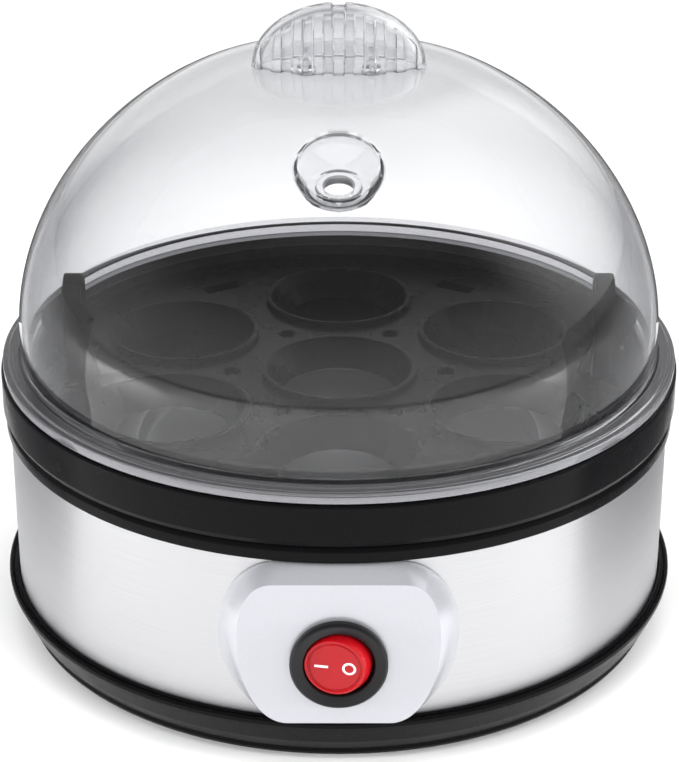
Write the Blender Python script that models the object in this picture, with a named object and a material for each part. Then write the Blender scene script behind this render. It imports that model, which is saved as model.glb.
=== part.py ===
"""Seven-seat egg boiler with a clear domed lid.

The origin is on the floor, under the middle of the round body. +Z is up, the switch faces -Y and +X is to
the right of someone who looks at the switch. All sizes are in metres.
"""
import math

import bmesh
import bpy
from mathutils import Matrix, Vector

# Facets and general clearances
RING_SEGMENTS = 32
SEAT_SEGMENTS = 16
SWITCH_SEGMENTS = 20
HIDDEN_SEGMENTS = 24
SMALL_SEGMENTS = 12
TINY_SEGMENTS = 8
FIT_GAP = 0.0003
SEAT_GAP = 0.0003
OVERRUN = 0.002
EDGE = 0.0006
SHARP_ANGLE = math.radians(35)

# Seats, which decide how wide the boiler is
OUTER_SEATS = 6
SEAT_MOUTH_RADIUS = 0.0192
SEAT_THROAT_RADIUS = 0.0145
SEAT_WALL = 0.0013
SEAT_SPACING = 0.0077
SEAT_LIP = 0.0015
SEAT_DROP = 0.0060
STEAM_HOLE_RADIUS = 0.0024
STEAM_SLOT_LENGTH = 0.0110

# Tray
PLATE_MARGIN = 0.0134
RIM_SLOPE = 0.0020
RIM_WIDTH = 0.0030
TRAY_HEIGHT = 0.0108
TRAY_WALL = 0.0020
SKIRT_WALL = 0.0022
SKIRT_NOTCH = 0.0030
EAR_SETBACK = 0.0116
EAR_DEPTH = 0.0048
EAR_WIDTH = 0.0110
EAR_HEIGHT = 0.0275
EAR_FIN_THICKNESS = 0.0022
EAR_FIN_REACH = 0.0068
EAR_FOOT_REACH = 0.0040

# Steel band
TRAY_OVERHANG = 0.0016
BAND_THICKNESS = 0.0005
BAND_HEIGHT = 0.0440
BAND_SEAM = 0.0006

# Base pan
FOOT_STAND = 0.0015
PAN_OVERHANG = 0.0029
PAN_HEIGHT = 0.0126
PAN_WALL = 0.0022
PAN_SLOPE = 0.0066
PAN_FILLET = 0.0004
PAN_BEAD_WIDTH = 0.0008
PAN_SPIGOT_RISE = 0.0029
CHANNEL_DEPTH = 0.0011
VENT_SLOT_LENGTH = 0.0180
VENT_SLOT_WIDTH = 0.0026
VENT_SLOT_PITCH = 0.0060
VENT_SLOTS = 7

# Upper housing
LIP_OVERHANG = 0.0010
LIP_COVER = 0.0008
LIP_HEIGHT = 0.0039
RIB_HEIGHT = 0.0023
RIB_GAP = 0.0006
HOUSING_WALL = 0.0020
HOUSING_SPIGOT = 0.0063
BOWL_DEPTH = 0.0128
BOWL_SHOULDER = 0.0020
BOWL_BLEND = 0.0030
POST_COUNT = 4
POST_ANGLE = math.radians(24)
POST_RADIUS = 0.0042

# Water dish, its seal and what is bolted under it
DISH_FLANGE_RADIUS = 0.0620
DISH_FLANGE_WIDTH = 0.0080
DISH_DEPTH = 0.0060
DISH_THICKNESS = 0.0010
DISH_CORNER = 0.0010
DISH_CLEARANCE = 0.0015
SEAL_THICKNESS = 0.0010
SEAL_INSET = 0.0006
ELEMENT_CIRCLE = 0.0330
ELEMENT_RADIUS = 0.0032
ELEMENT_GAP_ANGLE = math.radians(50)
ELEMENT_TAIL = 0.0080
ELEMENT_BEND = 0.0060
ELEMENT_PIN_RADIUS = 0.0011
ELEMENT_PIN_LENGTH = 0.0050
ELEMENT_STEPS = 20
ELEMENT_BEND_STEPS = 3
COVER_THICKNESS = 0.0012
COVER_HOLE_RADIUS = 0.0260
COVER_RIM_WIDTH = 0.0060
COVER_ARM_WIDTH = 0.0140
STUD_RADIUS = 0.0020
STUD_LENGTH = 0.0118
STUD_COUNT = 3
NUT_THICKNESS = 0.0026
NUT_RADIUS = 0.0040
SMALL_STUD_RADIUS = 0.0015
SMALL_STUD_LENGTH = 0.0062
SMALL_NUT_RADIUS = 0.0031
SMALL_NUT_THICKNESS = 0.0020

# Thermostat and thermal fuse
THERMOSTAT_RADIUS = 0.0080
THERMOSTAT_CAP_HEIGHT = 0.0030
THERMOSTAT_BODY_HEIGHT = 0.0090
THERMOSTAT_FLANGE = 0.0008
THERMOSTAT_EAR_OFFSET = 0.0120
THERMOSTAT_EAR_RADIUS = 0.0036
BLADE_WIDTH = 0.0048
BLADE_THICKNESS = 0.0008
BLADE_LENGTH = 0.0082
BLADE_HOLE_RADIUS = 0.0008
FUSE_RADIUS = 0.0020
FUSE_LENGTH = 0.0110
FUSE_SHOULDER = 0.0012
FUSE_LEAD_RADIUS = 0.0005
FUSE_LEAD_LENGTH = 0.0060
CLIP_THICKNESS = 0.0008
CLIP_WIDTH = 0.0060
CLIP_TAB = 0.0085

# Clear lid
LID_SETBACK = 0.0006
FLANGE_THICKNESS = 0.0024
FLANGE_STEP = 0.0006
FLANGE_SHELF = 0.0047
FLANGE_BEAD_WIDTH = 0.0013
LID_WALL = 0.0018
LID_SPIGOT_DROP = 0.0028
LID_SPIGOT_WALL = 0.0016
DOME_SPRING = 0.0102
DOME_RISE = 0.0716
DOME_SIDE_POWER = 2.04
DOME_CROWN_POWER = 1.88
DOME_STEPS = 8
CROWN_DROP = 0.0054

# Steam vent, a round recess in the front of the dome
VENT_SETBACK = 0.0486
VENT_RADIUS = 0.0098
VENT_TILT = math.radians(17)
VENT_DEPTH = 0.0062
VENT_HOLE_RADIUS = 0.0037
VENT_RING_RADIUS = 0.0050
VENT_RING_HEIGHT = 0.0008
VENT_SEGMENTS = 18

# Lid grip
GRIP_HALF_WIDTH = 0.0215
GRIP_HALF_DEPTH = 0.0100
GRIP_HEIGHT = 0.0157
GRIP_WALL = 0.0020
FLUTE_PITCH = 0.0051
FLUTE_DEPTH = 0.0007
GRIP_STEPS_PER_FLUTE = 3
GRIP_ARC_STEPS = 6
GRIP_NOTCH_WIDTH = 0.0034
GRIP_NOTCH_DEPTH = 0.0007
PEG_OFFSET = 0.0080
PEG_RADIUS = 0.0020
PEG_HEAD_RADIUS = 0.0030
PEG_HEAD_THICKNESS = 0.0010

# Switch panel
PANEL_HALF_WIDTH = 0.0283
PANEL_FLAT_HALF = 0.0125
PANEL_CORNER_POWER = 2.4
PANEL_STAND = 0.0050
PANEL_EDGE = 0.0008
PANEL_BEVEL = 0.0047
PANEL_WALL = 0.0018
PANEL_CORNER_STEPS = 6
PANEL_BOSS_OFFSET = 0.0190
PANEL_BOSS_RADIUS = 0.0026
PANEL_LOWER_GAP = 0.0013
PANEL_UPPER_GAP = 0.0003
BEVEL_MIDDLE_SHARES = (0.42, 0.72)

# Rocker switch
BEZEL_REACH = 0.0016
BEZEL_THICKNESS = 0.0020
BEZEL_CHAMFER = 0.0007
BARREL_RADIUS = 0.0099
BARREL_LENGTH = 0.0190
BARREL_CLEARANCE = 0.0004
BARREL_WALL = 0.00155
SWITCH_CAVITY_DEPTH = 0.0110
SWITCH_DROP = 0.0026
LUG_REACH = 0.0012
LUG_WIDTH = 0.0060
LUG_LENGTH = 0.0050
ROCKER_CLEARANCE = 0.00075
ROCKER_TAPER = 0.00055
ROCKER_REACH = 0.0060
ROCKER_TAIL = 0.0024
ROCKER_WALL = 0.0015
ROCKER_EDGE = 0.0005
PIVOT_DEPTH = 0.0035
PIVOT_RADIUS = 0.0012
PIVOT_PROUD = 0.0017
ROCKER_TILT = math.radians(10.5)
LAMP_RADIUS = 0.0019
LAMP_LENGTH = 0.0070
LAMP_STEM = 0.0012
TERMINAL_SPACING = 0.0060
TERMINALS = 3

# Fasteners, feet and cord gland
SCREW_RADIUS = 0.0015
SCREW_HEAD_RADIUS = 0.0034
SCREW_HEAD_HEIGHT = 0.0021
SCREW_LENGTH = 0.0140
CUP_WALL = 0.0016
CUP_DEPTH = 0.0058
CUP_WEB = 0.0020
PANEL_SCREW_RADIUS = 0.0010
PANEL_SCREW_HEAD_RADIUS = 0.0024
PANEL_SCREW_HEAD_HEIGHT = 0.0016
PANEL_SCREW_BITE = 0.0030
FOOT_RADIUS = 0.0065
FOOT_CIRCLE = 0.0640
FOOT_STEM_RADIUS = 0.0024
FOOT_HEAD_RADIUS = 0.0034
FOOT_HEAD_HEIGHT = 0.0018
GLAND_HEIGHT = 0.00675
GLAND_BOSS_RADIUS = 0.0047
GLAND_BOSS_STAND = 0.0011
GLAND_NECK_RADIUS = 0.00365
GLAND_BORE_RADIUS = 0.00305
GLAND_FLANGE_RADIUS = 0.0047
GLAND_FLANGE_THICKNESS = 0.0015
GLAND_NOSE = 0.0040
GLAND_BARB = 0.0003
GLAND_BARB_LENGTH = 0.0016
BLOCK_WIDTH = 0.0260
BLOCK_DEPTH = 0.0120
BLOCK_HEIGHT = 0.0110
BLOCK_POLES = 3
BLOCK_PITCH = 0.0080
BLOCK_BORE_RADIUS = 0.0016
BLOCK_PLACE = 0.0580
BLOCK_SHOULDER = 0.0030
BLOCK_SCREW_RADIUS = 0.0011
BLOCK_SCREW_HEAD_RADIUS = 0.0019
BLOCK_SCREW_HEAD_HEIGHT = 0.0014

# Insulated leads inside the base
LEAD_RADIUS = 0.0010
LEAD_STEPS = 7
LEAD_SEGMENTS = 5
LEAD_END_GAP = 0.0003
LEAD_PULL = 0.0120

# Radii that follow from the seats
seat_outer = SEAT_MOUTH_RADIUS + SEAT_WALL
seat_circle = 2 * seat_outer + SEAT_SPACING
plate_radius = seat_circle + seat_outer + PLATE_MARGIN
rim_inner = plate_radius + RIM_SLOPE
tray_radius = rim_inner + RIM_WIDTH
skirt_inner = tray_radius - SKIRT_WALL
ear_radius = plate_radius - EAR_SETBACK
band_radius = tray_radius - TRAY_OVERHANG
band_inner = band_radius - BAND_THICKNESS
lip_radius = band_radius + LIP_OVERHANG
pan_radius = band_radius + PAN_OVERHANG
spigot_outer = band_inner - FIT_GAP
spigot_inner = spigot_outer - HOUSING_WALL
rib_outer = skirt_inner - RIB_GAP
rib_inner = rib_outer - HOUSING_WALL
flange_radius = tray_radius - LID_SETBACK
dome_radius = flange_radius - FLANGE_SHELF
lid_spigot_inner = dome_radius - LID_WALL

# Levels of the stack, from the floor up
pan_bottom = FOOT_STAND
pan_floor = pan_bottom + PAN_WALL
pan_top = pan_bottom + PAN_HEIGHT
channel_floor = pan_top - CHANNEL_DEPTH
band_bottom = channel_floor + SEAT_GAP
band_top = band_bottom + BAND_HEIGHT
lip_bottom = band_top - LIP_COVER
lip_top = lip_bottom + LIP_HEIGHT
rib_top = lip_top + RIB_HEIGHT
tray_bottom = lip_top + SEAT_GAP
tray_top = tray_bottom + TRAY_HEIGHT
plate_under = rib_top + SEAT_GAP
plate_top = plate_under + TRAY_WALL
lid_bottom = tray_top + SEAT_GAP
flange_top = lid_bottom + FLANGE_THICKNESS
shelf_top = flange_top + FLANGE_STEP
dome_spring = lid_bottom + DOME_SPRING
crown_level = dome_spring + DOME_RISE - CROWN_DROP
dish_top = lip_top - BOWL_DEPTH
dish_flange_under = dish_top - DISH_THICKNESS
seal_top = dish_flange_under - SEAT_GAP
seal_bottom = seal_top - SEAL_THICKNESS
ledge_top = seal_bottom - SEAT_GAP
ledge_under = ledge_top - HOUSING_WALL
dish_floor = dish_top - DISH_DEPTH
dish_under = dish_floor - DISH_THICKNESS
ledge_outer = DISH_FLANGE_RADIUS + FIT_GAP
dish_wall_radius = DISH_FLANGE_RADIUS - DISH_FLANGE_WIDTH
ledge_inner = dish_wall_radius + DISH_CLEARANCE
post_circle = (ledge_outer + HOUSING_WALL + spigot_inner) / 2
cup_outer = SCREW_HEAD_RADIUS + FIT_GAP + CUP_WALL
cup_top = pan_bottom + CUP_DEPTH + CUP_WEB
post_bottom = cup_top + SEAT_GAP
element_level = dish_under - SEAT_GAP - ELEMENT_RADIUS
cover_top = element_level - ELEMENT_RADIUS - SEAT_GAP
cover_under = cover_top - COVER_THICKNESS
cover_radius = ELEMENT_CIRCLE + ELEMENT_RADIUS + 2 * NUT_RADIUS + COVER_RIM_WIDTH / 2
stud_circle = ELEMENT_CIRCLE + ELEMENT_RADIUS + NUT_RADIUS + FIT_GAP

# Levels, planes and radii of the switch
panel_bottom = pan_top + PANEL_LOWER_GAP
panel_top = lip_bottom - PANEL_UPPER_GAP
panel_half_height = (panel_top - panel_bottom) / 2
panel_level = (panel_top + panel_bottom) / 2
panel_front = -(band_radius + PANEL_STAND)
switch_level = panel_level - SWITCH_DROP
bezel_back = panel_front - SEAT_GAP
bezel_front = bezel_back - BEZEL_THICKNESS
barrel_back = bezel_back + BARREL_LENGTH
cavity_back = bezel_front + SWITCH_CAVITY_DEPTH
pivot_y = bezel_front + PIVOT_DEPTH
bezel_radius = BARREL_RADIUS + BEZEL_REACH
opening_radius = BARREL_RADIUS - BARREL_WALL
rocker_skirt = opening_radius - ROCKER_CLEARANCE
rocker_face = rocker_skirt - ROCKER_TAPER

MATERIALS = {
    "clear_lid": ((0.86, 0.88, 0.90), 0.04, 0.0, 0.95),
    "black_moulding": ((0.018, 0.018, 0.020), 0.28, 0.0, 0.0),
    "brushed_steel": ((0.62, 0.62, 0.63), 0.32, 1.0, 0.0),
    "silver_panel": ((0.62, 0.63, 0.66), 0.35, 0.3, 0.0),
    "switch_black": ((0.015, 0.015, 0.016), 0.45, 0.0, 0.0),
    "red_lens": ((0.60, 0.012, 0.015), 0.18, 0.0, 0.3),
    "lamp_glass": ((0.90, 0.45, 0.20), 0.10, 0.0, 0.6),
    "pressed_steel": ((0.48, 0.48, 0.50), 0.40, 1.0, 0.0),
    "dish_metal": ((0.66, 0.66, 0.66), 0.30, 1.0, 0.0),
    "silicone": ((0.55, 0.16, 0.10), 0.60, 0.0, 0.0),
    "ceramic": ((0.72, 0.70, 0.64), 0.55, 0.0, 0.0),
    "rubber": ((0.02, 0.02, 0.02), 0.80, 0.0, 0.0),
    "brass": ((0.70, 0.52, 0.22), 0.35, 1.0, 0.0),
    "lead_cover": ((0.75, 0.73, 0.68), 0.50, 0.0, 0.0),
    "block_white": ((0.78, 0.78, 0.75), 0.50, 0.0, 0.0),
}


def clear_scene():
    """Remove every object, so that the script gives the same model each time."""
    for old in list(bpy.data.objects):
        bpy.data.objects.remove(old, do_unlink=True)


def material(name):
    """Return the named material as a Principled BSDF, made on first use."""
    if name in bpy.data.materials:
        return bpy.data.materials[name]
    colour, roughness, metallic, transmission = MATERIALS[name]
    made = bpy.data.materials.new(name)
    made.use_nodes = True
    shader = made.node_tree.nodes["Principled BSDF"]
    shader.inputs["Base Color"].default_value = (*colour, 1.0)
    shader.inputs["Roughness"].default_value = roughness
    shader.inputs["Metallic"].default_value = metallic
    shader.inputs["Transmission Weight"].default_value = transmission
    return made


def add_piece(name, shape, finish, location=(0, 0, 0), turn=0.0):
    """Put a bmesh in the scene as one visible piece with its own finish."""
    mesh = bpy.data.meshes.new(name)
    shape.to_mesh(mesh)
    shape.free()
    mesh.materials.append(material(finish))
    mesh.shade_smooth()
    mesh.set_sharp_from_angle(angle=SHARP_ANGLE)
    return place(name, mesh, location, turn)


def place(name, mesh, location=(0, 0, 0), turn=0.0):
    """Link an object that shows the given mesh, which copies may share."""
    piece = bpy.data.objects.new(name, mesh)
    bpy.context.scene.collection.objects.link(piece)
    piece.location = location
    piece.rotation_euler = (0, 0, turn)
    return piece


def add_tool(name, shape):
    """Put a bmesh in the scene as a hidden tool for Boolean modifiers."""
    mesh = bpy.data.meshes.new(name)
    shape.to_mesh(mesh)
    shape.free()
    tool = place(name, mesh)
    tool.hide_render = True
    tool.display_type = "WIRE"
    return tool


def combine(piece, tool, operation):
    """Add one exact Boolean modifier."""
    step = piece.modifiers.new(f"{operation.lower()} {tool.name}", "BOOLEAN")
    step.operation = operation
    step.solver = "EXACT"
    step.object = tool


def cut(piece, name, shape):
    """Cut a shape out of a piece."""
    combine(piece, add_tool(name, shape), "DIFFERENCE")


def join(piece, name, shape):
    """Fuse a shape to a piece."""
    combine(piece, add_tool(name, shape), "UNION")


def lathe(profile, segments, centre=(0, 0, 0), axis="Z"):
    """Turn a profile of (radius, height) points about an axis through the centre."""
    shape = bmesh.new()
    points = [shape.verts.new((r, 0, z)) for r, z in profile]
    for a, b in zip(points, points[1:]):
        shape.edges.new((a, b))
    if profile[0][0] > 0 or profile[-1][0] > 0:
        shape.edges.new((points[-1], points[0]))
    bmesh.ops.spin(
        shape, geom=shape.verts[:] + shape.edges[:], cent=(0, 0, 0), axis=(0, 0, 1),
        angle=2 * math.pi, steps=segments, use_merge=True)
    bmesh.ops.remove_doubles(shape, verts=shape.verts[:], dist=FIT_GAP / 100)
    hubs = [v for v in shape.verts if v.co.xy.length < FIT_GAP / 100]
    bmesh.ops.dissolve_verts(shape, verts=hubs)
    bmesh.ops.recalc_face_normals(shape, faces=shape.faces[:])
    if axis == "Y":
        shape.transform(Matrix.Rotation(math.radians(-90), 4, "X"))
    shape.transform(Matrix.Translation(centre))
    return shape


def rod(shape, radius, start, end, segments, top_radius=None):
    """Add a closed cylinder or cone between two points."""
    start, end = Vector(start), Vector(end)
    run = end - start
    turn = run.to_track_quat("Z", "Y").to_matrix().to_4x4()
    bmesh.ops.create_cone(
        shape, cap_ends=True, segments=segments, radius1=radius,
        radius2=radius if top_radius is None else top_radius, depth=run.length,
        matrix=Matrix.Translation((start + end) / 2) @ turn)
    return shape


def block(shape, low, high):
    """Add a box between two corners."""
    low, high = Vector(low), Vector(high)
    size = high - low
    bmesh.ops.create_cube(
        shape, size=1.0,
        matrix=Matrix.Translation((low + high) / 2) @ Matrix.Diagonal((*size, 1.0)))
    return shape


def tube(route, radius, segments):
    """Return a round tube along a route of points, with flat ends."""
    shape = bmesh.new()
    across = Vector((0, 0, 1))
    first = (route[1] - route[0]).normalized()
    if abs(first.dot(across)) > 0.9:
        across = Vector(route[0].xy.to_3d()).normalized()
    rings = []
    for k, point in enumerate(route):
        along = (route[min(k + 1, len(route) - 1)] - route[max(k - 1, 0)]).normalized()
        across = (across - along * along.dot(across)).normalized()
        side = along.cross(across)
        rings.append([shape.verts.new(point + radius * (across * math.cos(a) + side * math.sin(a)))
                      for a in (math.tau * i / segments for i in range(segments))])
    for a, b in zip(rings, rings[1:]):
        for i in range(segments):
            shape.faces.new((a[i], a[(i + 1) % segments], b[(i + 1) % segments], b[i]))
    shape.faces.new(rings[0])
    shape.faces.new(rings[-1])
    bmesh.ops.recalc_face_normals(shape, faces=shape.faces[:])
    return shape


def prism(shape, outline, thickness):
    """Add a flat plate: an outline of (x, y, z) points, thickened along its normal to both sides."""
    face = shape.faces.new([shape.verts.new(p) for p in outline])
    face.normal_update()
    push = face.normal * thickness
    bmesh.ops.translate(shape, verts=face.verts[:], vec=-push / 2)
    grown = bmesh.ops.extrude_face_region(shape, geom=[face])
    moved = [g for g in grown["geom"] if isinstance(g, bmesh.types.BMVert)]
    bmesh.ops.translate(shape, verts=moved, vec=push)
    bmesh.ops.recalc_face_normals(shape, faces=shape.faces[:])
    return shape


def around(radius, angle, level=0.0):
    """Return a point at a radius and an angle from +X, at a level."""
    return Vector((radius * math.cos(angle), radius * math.sin(angle), level))


def flat_radius(radius):
    """Return the least radius of a big turned surface, in the middle of one of its facets."""
    return radius * math.cos(math.pi / RING_SEGMENTS)


def seat_centres():
    """Return the seven seat centres: one in the middle and six around it, one of them at the front."""
    ring = [around(seat_circle, math.radians(-90) + k * math.tau / OUTER_SEATS) for k in range(OUTER_SEATS)]
    return [Vector((0, 0, 0)), *ring]


def ear(side):
    """Return one lift ear: a rounded post with an outer fin and a short inner foot."""
    shape = bmesh.new()
    x_mid = side * (ear_radius - EAR_DEPTH / 2)
    half = EAR_WIDTH / 2
    shoulder = plate_top + EAR_HEIGHT - half
    bottom = plate_top - TRAY_WALL / 2
    arch = [(x_mid, half * math.cos(a), shoulder + half * math.sin(a))
            for a in (math.pi * k / SMALL_SEGMENTS * 2 for k in range(SMALL_SEGMENTS // 2 + 1))]
    prism(shape, [(x_mid, half, bottom), *arch, (x_mid, -half, bottom)], EAR_DEPTH)
    return shape


EAR_FIN_SHARES = ((0.0, -0.04), (0.35, 0.12), (1.0, 0.52), (1.0, 0.64), (0.0, 0.92))
EAR_FOOT_SHARES = ((0.0, 0.55), (0.0, -0.04), (1.0, -0.04))


def ear_fin(side):
    """Return the outer fin of an ear, which follows the dome."""
    shape = bmesh.new()
    root = ear_radius - EAR_DEPTH / 2
    reach = EAR_FIN_REACH + EAR_DEPTH / 2
    prism(shape, [(side * (root + u * reach), 0, plate_top + v * EAR_HEIGHT) for u, v in EAR_FIN_SHARES],
          EAR_FIN_THICKNESS)
    return shape


def ear_foot(side):
    """Return the inner foot of an ear, a short gusset to the plate."""
    shape = bmesh.new()
    root = ear_radius - EAR_DEPTH / 2
    reach = EAR_FOOT_REACH + EAR_DEPTH / 2
    prism(shape, [(side * (root - u * reach), 0, plate_top + v * EAR_HEIGHT) for u, v in EAR_FOOT_SHARES],
          EAR_FIN_THICKNESS)
    return shape


def egg_tray():
    """Make the tray: skirt and plate turned as one, seven seats, steam holes and two ears."""
    profile = [
        (0, plate_top), (plate_radius, plate_top), (rim_inner, tray_top),
        (tray_radius - EDGE, tray_top), (tray_radius, tray_top - EDGE), (tray_radius, tray_bottom + EDGE),
        (tray_radius - EDGE, tray_bottom), (skirt_inner, tray_bottom),
        (skirt_inner, plate_under + SKIRT_NOTCH), (rib_outer - EDGE, plate_under), (0, plate_under)]
    tray = add_piece("egg_tray", lathe(profile, RING_SEGMENTS), "black_moulding")
    plugs = bmesh.new()
    cups = bmesh.new()
    seat_top = plate_top + SEAT_LIP
    seat_bottom = plate_top - SEAT_DROP
    throat_outer = SEAT_THROAT_RADIUS + SEAT_WALL
    slope = (SEAT_MOUTH_RADIUS - SEAT_THROAT_RADIUS) / (seat_top - seat_bottom)
    for centre in seat_centres():
        up = Vector((0, 0, 1))
        rod(plugs, throat_outer, centre + up * seat_bottom, centre + up * seat_top, SEAT_SEGMENTS, seat_outer)
        rod(cups, SEAT_THROAT_RADIUS - slope * OVERRUN, centre + up * (seat_bottom - OVERRUN),
            centre + up * (seat_top + OVERRUN), SEAT_SEGMENTS, SEAT_MOUTH_RADIUS + slope * OVERRUN)
    join(tray, "seat_plugs", plugs)
    cut(tray, "seat_cups", cups)
    cut(tray, "steam_holes", steam_holes())
    for side, label in ((-1, "left"), (1, "right")):
        join(tray, f"ear_{label}", ear(side))
        join(tray, f"ear_fin_{label}", ear_fin(side))
        join(tray, f"ear_foot_{label}", ear_foot(side))


def steam_holes():
    """Return the cutters for the round holes between seats and the slots near the rim."""
    shape = bmesh.new()
    low, high = plate_under - OVERRUN, plate_top + OVERRUN
    hole_circle = seat_circle / math.sqrt(3)
    slot_circle = seat_circle + seat_outer / 2 + SEAT_SPACING
    for k in range(OUTER_SEATS):
        angle = k * math.tau / OUTER_SEATS
        rod(shape, STEAM_HOLE_RADIUS, around(hole_circle, angle, low), around(hole_circle, angle, high),
            TINY_SEGMENTS)
        if k % (OUTER_SEATS // 2) == 0:
            continue
        middle = around(slot_circle, angle)
        slot = bmesh.new()
        block(slot, (-STEAM_HOLE_RADIUS, -STEAM_SLOT_LENGTH / 2, low),
              (STEAM_HOLE_RADIUS, STEAM_SLOT_LENGTH / 2, high))
        slot.transform(Matrix.Translation(middle) @ Matrix.Rotation(angle, 4, "Z"))
        add_shape(shape, slot)
    return shape


def add_shape(shape, other):
    """Copy one bmesh into another."""
    carrier = bpy.data.meshes.new("carrier")
    other.to_mesh(carrier)
    other.free()
    shape.from_mesh(carrier)
    bpy.data.meshes.remove(carrier)


def bowl_points():
    """Return the top and bottom points of the bowl's slope, as (radius, level)."""
    upper = (rib_inner - EDGE, lip_top - BOWL_SHOULDER)
    lower = (ledge_outer + BOWL_BLEND, dish_top + EDGE)
    return upper, lower


def bowl_middle(radius):
    """Return the level halfway through the bowl's wall at a radius."""
    upper, lower = bowl_points()
    share = (radius - lower[0]) / (upper[0] - lower[0])
    return lower[1] + share * (upper[1] - lower[1]) - HOUSING_WALL / 2


def posts():
    """Return the four screw posts, whose tops follow the slope of the bowl."""
    shape = bmesh.new()
    for k in range(POST_COUNT):
        foot = around(post_circle, post_angle(k), post_bottom)
        post = bmesh.new()
        rod(post, POST_RADIUS, foot, (foot.x, foot.y, ledge_top), SMALL_SEGMENTS)
        for point in post.verts:
            if point.co.z > (post_bottom + ledge_top) / 2:
                point.co.z = bowl_middle(point.co.xy.length)
        add_shape(shape, post)
    return shape


def post_angle(k):
    """Return the angle of a post: one pair at each side, clear of the switch and the gland."""
    side = math.pi * (k // 2)
    return side + POST_ANGLE * (1 if k % 2 else -1)


def upper_housing():
    """Make the ring that carries the tray outside and the water dish inside."""
    upper, lower = bowl_points()
    profile = [
        (lip_radius, lip_bottom), (lip_radius, lip_top - EDGE), (lip_radius - EDGE, lip_top),
        (rib_outer, lip_top), (rib_outer, rib_top), (rib_inner, rib_top), upper, lower, (ledge_outer, dish_top),
        (ledge_outer, ledge_top), (ledge_inner, ledge_top), (ledge_inner, ledge_under),
        (ledge_outer + HOUSING_WALL, ledge_under), (lower[0], lower[1] - HOUSING_WALL - EDGE),
        (upper[0] - BOWL_SHOULDER, upper[1] - HOUSING_WALL - EDGE), (spigot_inner, upper[1] - HOUSING_WALL),
        (spigot_inner, band_top - HOUSING_SPIGOT), (spigot_outer, band_top - HOUSING_SPIGOT),
        (spigot_outer, band_top + SEAT_GAP), (band_radius + FIT_GAP, band_top + SEAT_GAP),
        (band_radius + FIT_GAP, lip_bottom)]
    housing = add_piece("upper_housing", lathe(profile, RING_SEGMENTS), "black_moulding")
    join(housing, "housing_posts", posts())
    pilots = bmesh.new()
    for k in range(POST_COUNT):
        low = around(post_circle, post_angle(k), post_bottom - OVERRUN)
        rod(pilots, SCREW_RADIUS + FIT_GAP, low,
            low + Vector((0, 0, SCREW_LENGTH + OVERRUN)), TINY_SEGMENTS)
    cut(housing, "post_pilots", pilots)


def steel_band():
    """Make the side wall: a steel strip rolled to a ring, with its seam at the rear."""
    shape = bmesh.new()
    half_seam = BAND_SEAM / 2 / band_radius
    start = math.radians(90) + half_seam
    sweep = math.tau - 2 * half_seam
    corners = [(band_radius, band_bottom), (band_radius, band_top), (band_inner, band_top),
               (band_inner, band_bottom)]
    points = [shape.verts.new(around(r, start, z)) for r, z in corners]
    end_face = shape.faces.new(points)
    bmesh.ops.spin(
        shape, geom=[end_face], cent=(0, 0, 0), axis=(0, 0, 1), angle=sweep, steps=RING_SEGMENTS)
    bmesh.ops.recalc_face_normals(shape, faces=shape.faces[:])
    band = add_piece("steel_band", shape, "brushed_steel")
    holes = bmesh.new()
    outside, inside = -band_radius - OVERRUN, -band_inner / 2
    rod(holes, BARREL_RADIUS + BARREL_CLEARANCE, (0, outside, switch_level), (0, inside, switch_level),
        SWITCH_SEGMENTS)
    for side in (-1, 1):
        x = side * PANEL_BOSS_OFFSET
        rod(holes, PANEL_SCREW_RADIUS + 2 * FIT_GAP, (x, outside, panel_level), (x, inside, panel_level),
            TINY_SEGMENTS)
    cut(band, "band_holes", holes)


PAN_OUTLINE_SHARES = (
    (-1.00, 0.000), (-0.72, 0.050), (-0.65, 0.130), (-0.69, 0.180), (-0.36, 0.460), (-0.11, 0.760),
    (0.00, 0.890), (-0.02, 0.960), (-0.11, 1.000), (-0.20, 0.950))


def base_pan():
    """Make the flared pan with its bead, band channel, inner spigot, screw cups and holes."""
    outer = [(pan_radius + u * PAN_SLOPE, pan_bottom + v * PAN_HEIGHT) for u, v in PAN_OUTLINE_SHARES]
    bead_outer = band_radius + FIT_GAP + PAN_BEAD_WIDTH
    wall_inner = spigot_inner - FIT_GAP
    profile = [
        (0, pan_bottom), *outer, (bead_outer, outer[-1][1]), (bead_outer, pan_top - FIT_GAP),
        (bead_outer - FIT_GAP, pan_top), (band_radius + FIT_GAP, pan_top),
        (band_radius + FIT_GAP, channel_floor), (spigot_outer, channel_floor),
        (spigot_outer, pan_top + PAN_SPIGOT_RISE), (spigot_inner, pan_top + PAN_SPIGOT_RISE),
        (wall_inner, pan_floor + PAN_FILLET), (wall_inner - PAN_FILLET, pan_floor), (0, pan_floor)]
    pan = add_piece("base_pan", lathe(profile, RING_SEGMENTS), "black_moulding")
    join(pan, "gland_boss", gland_boss())
    join(pan, "screw_cups", screw_cups())
    cut(pan, "screw_recesses", screw_recesses())
    cut(pan, "pan_holes", pan_holes())


def gland_face():
    """Return how far back the flat face for the cord gland stands."""
    return pan_radius + GLAND_BOSS_STAND


def gland_level():
    """Return the level of the cord gland's axis."""
    return pan_bottom + GLAND_HEIGHT


def gland_boss():
    """Return the short boss that gives the gland a flat face on the flared wall."""
    shape = bmesh.new()
    inner = spigot_inner + PAN_WALL / 2
    return rod(shape, GLAND_BOSS_RADIUS, (0, inner, gland_level()), (0, gland_face(), gland_level()),
               SMALL_SEGMENTS)


def screw_cups():
    """Return the raised cups that take the screw heads."""
    shape = bmesh.new()
    for k in range(POST_COUNT):
        place_low = around(post_circle, post_angle(k), pan_bottom + PAN_WALL / 2)
        rod(shape, cup_outer, place_low, (place_low.x, place_low.y, cup_top), SMALL_SEGMENTS)
    return shape


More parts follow.
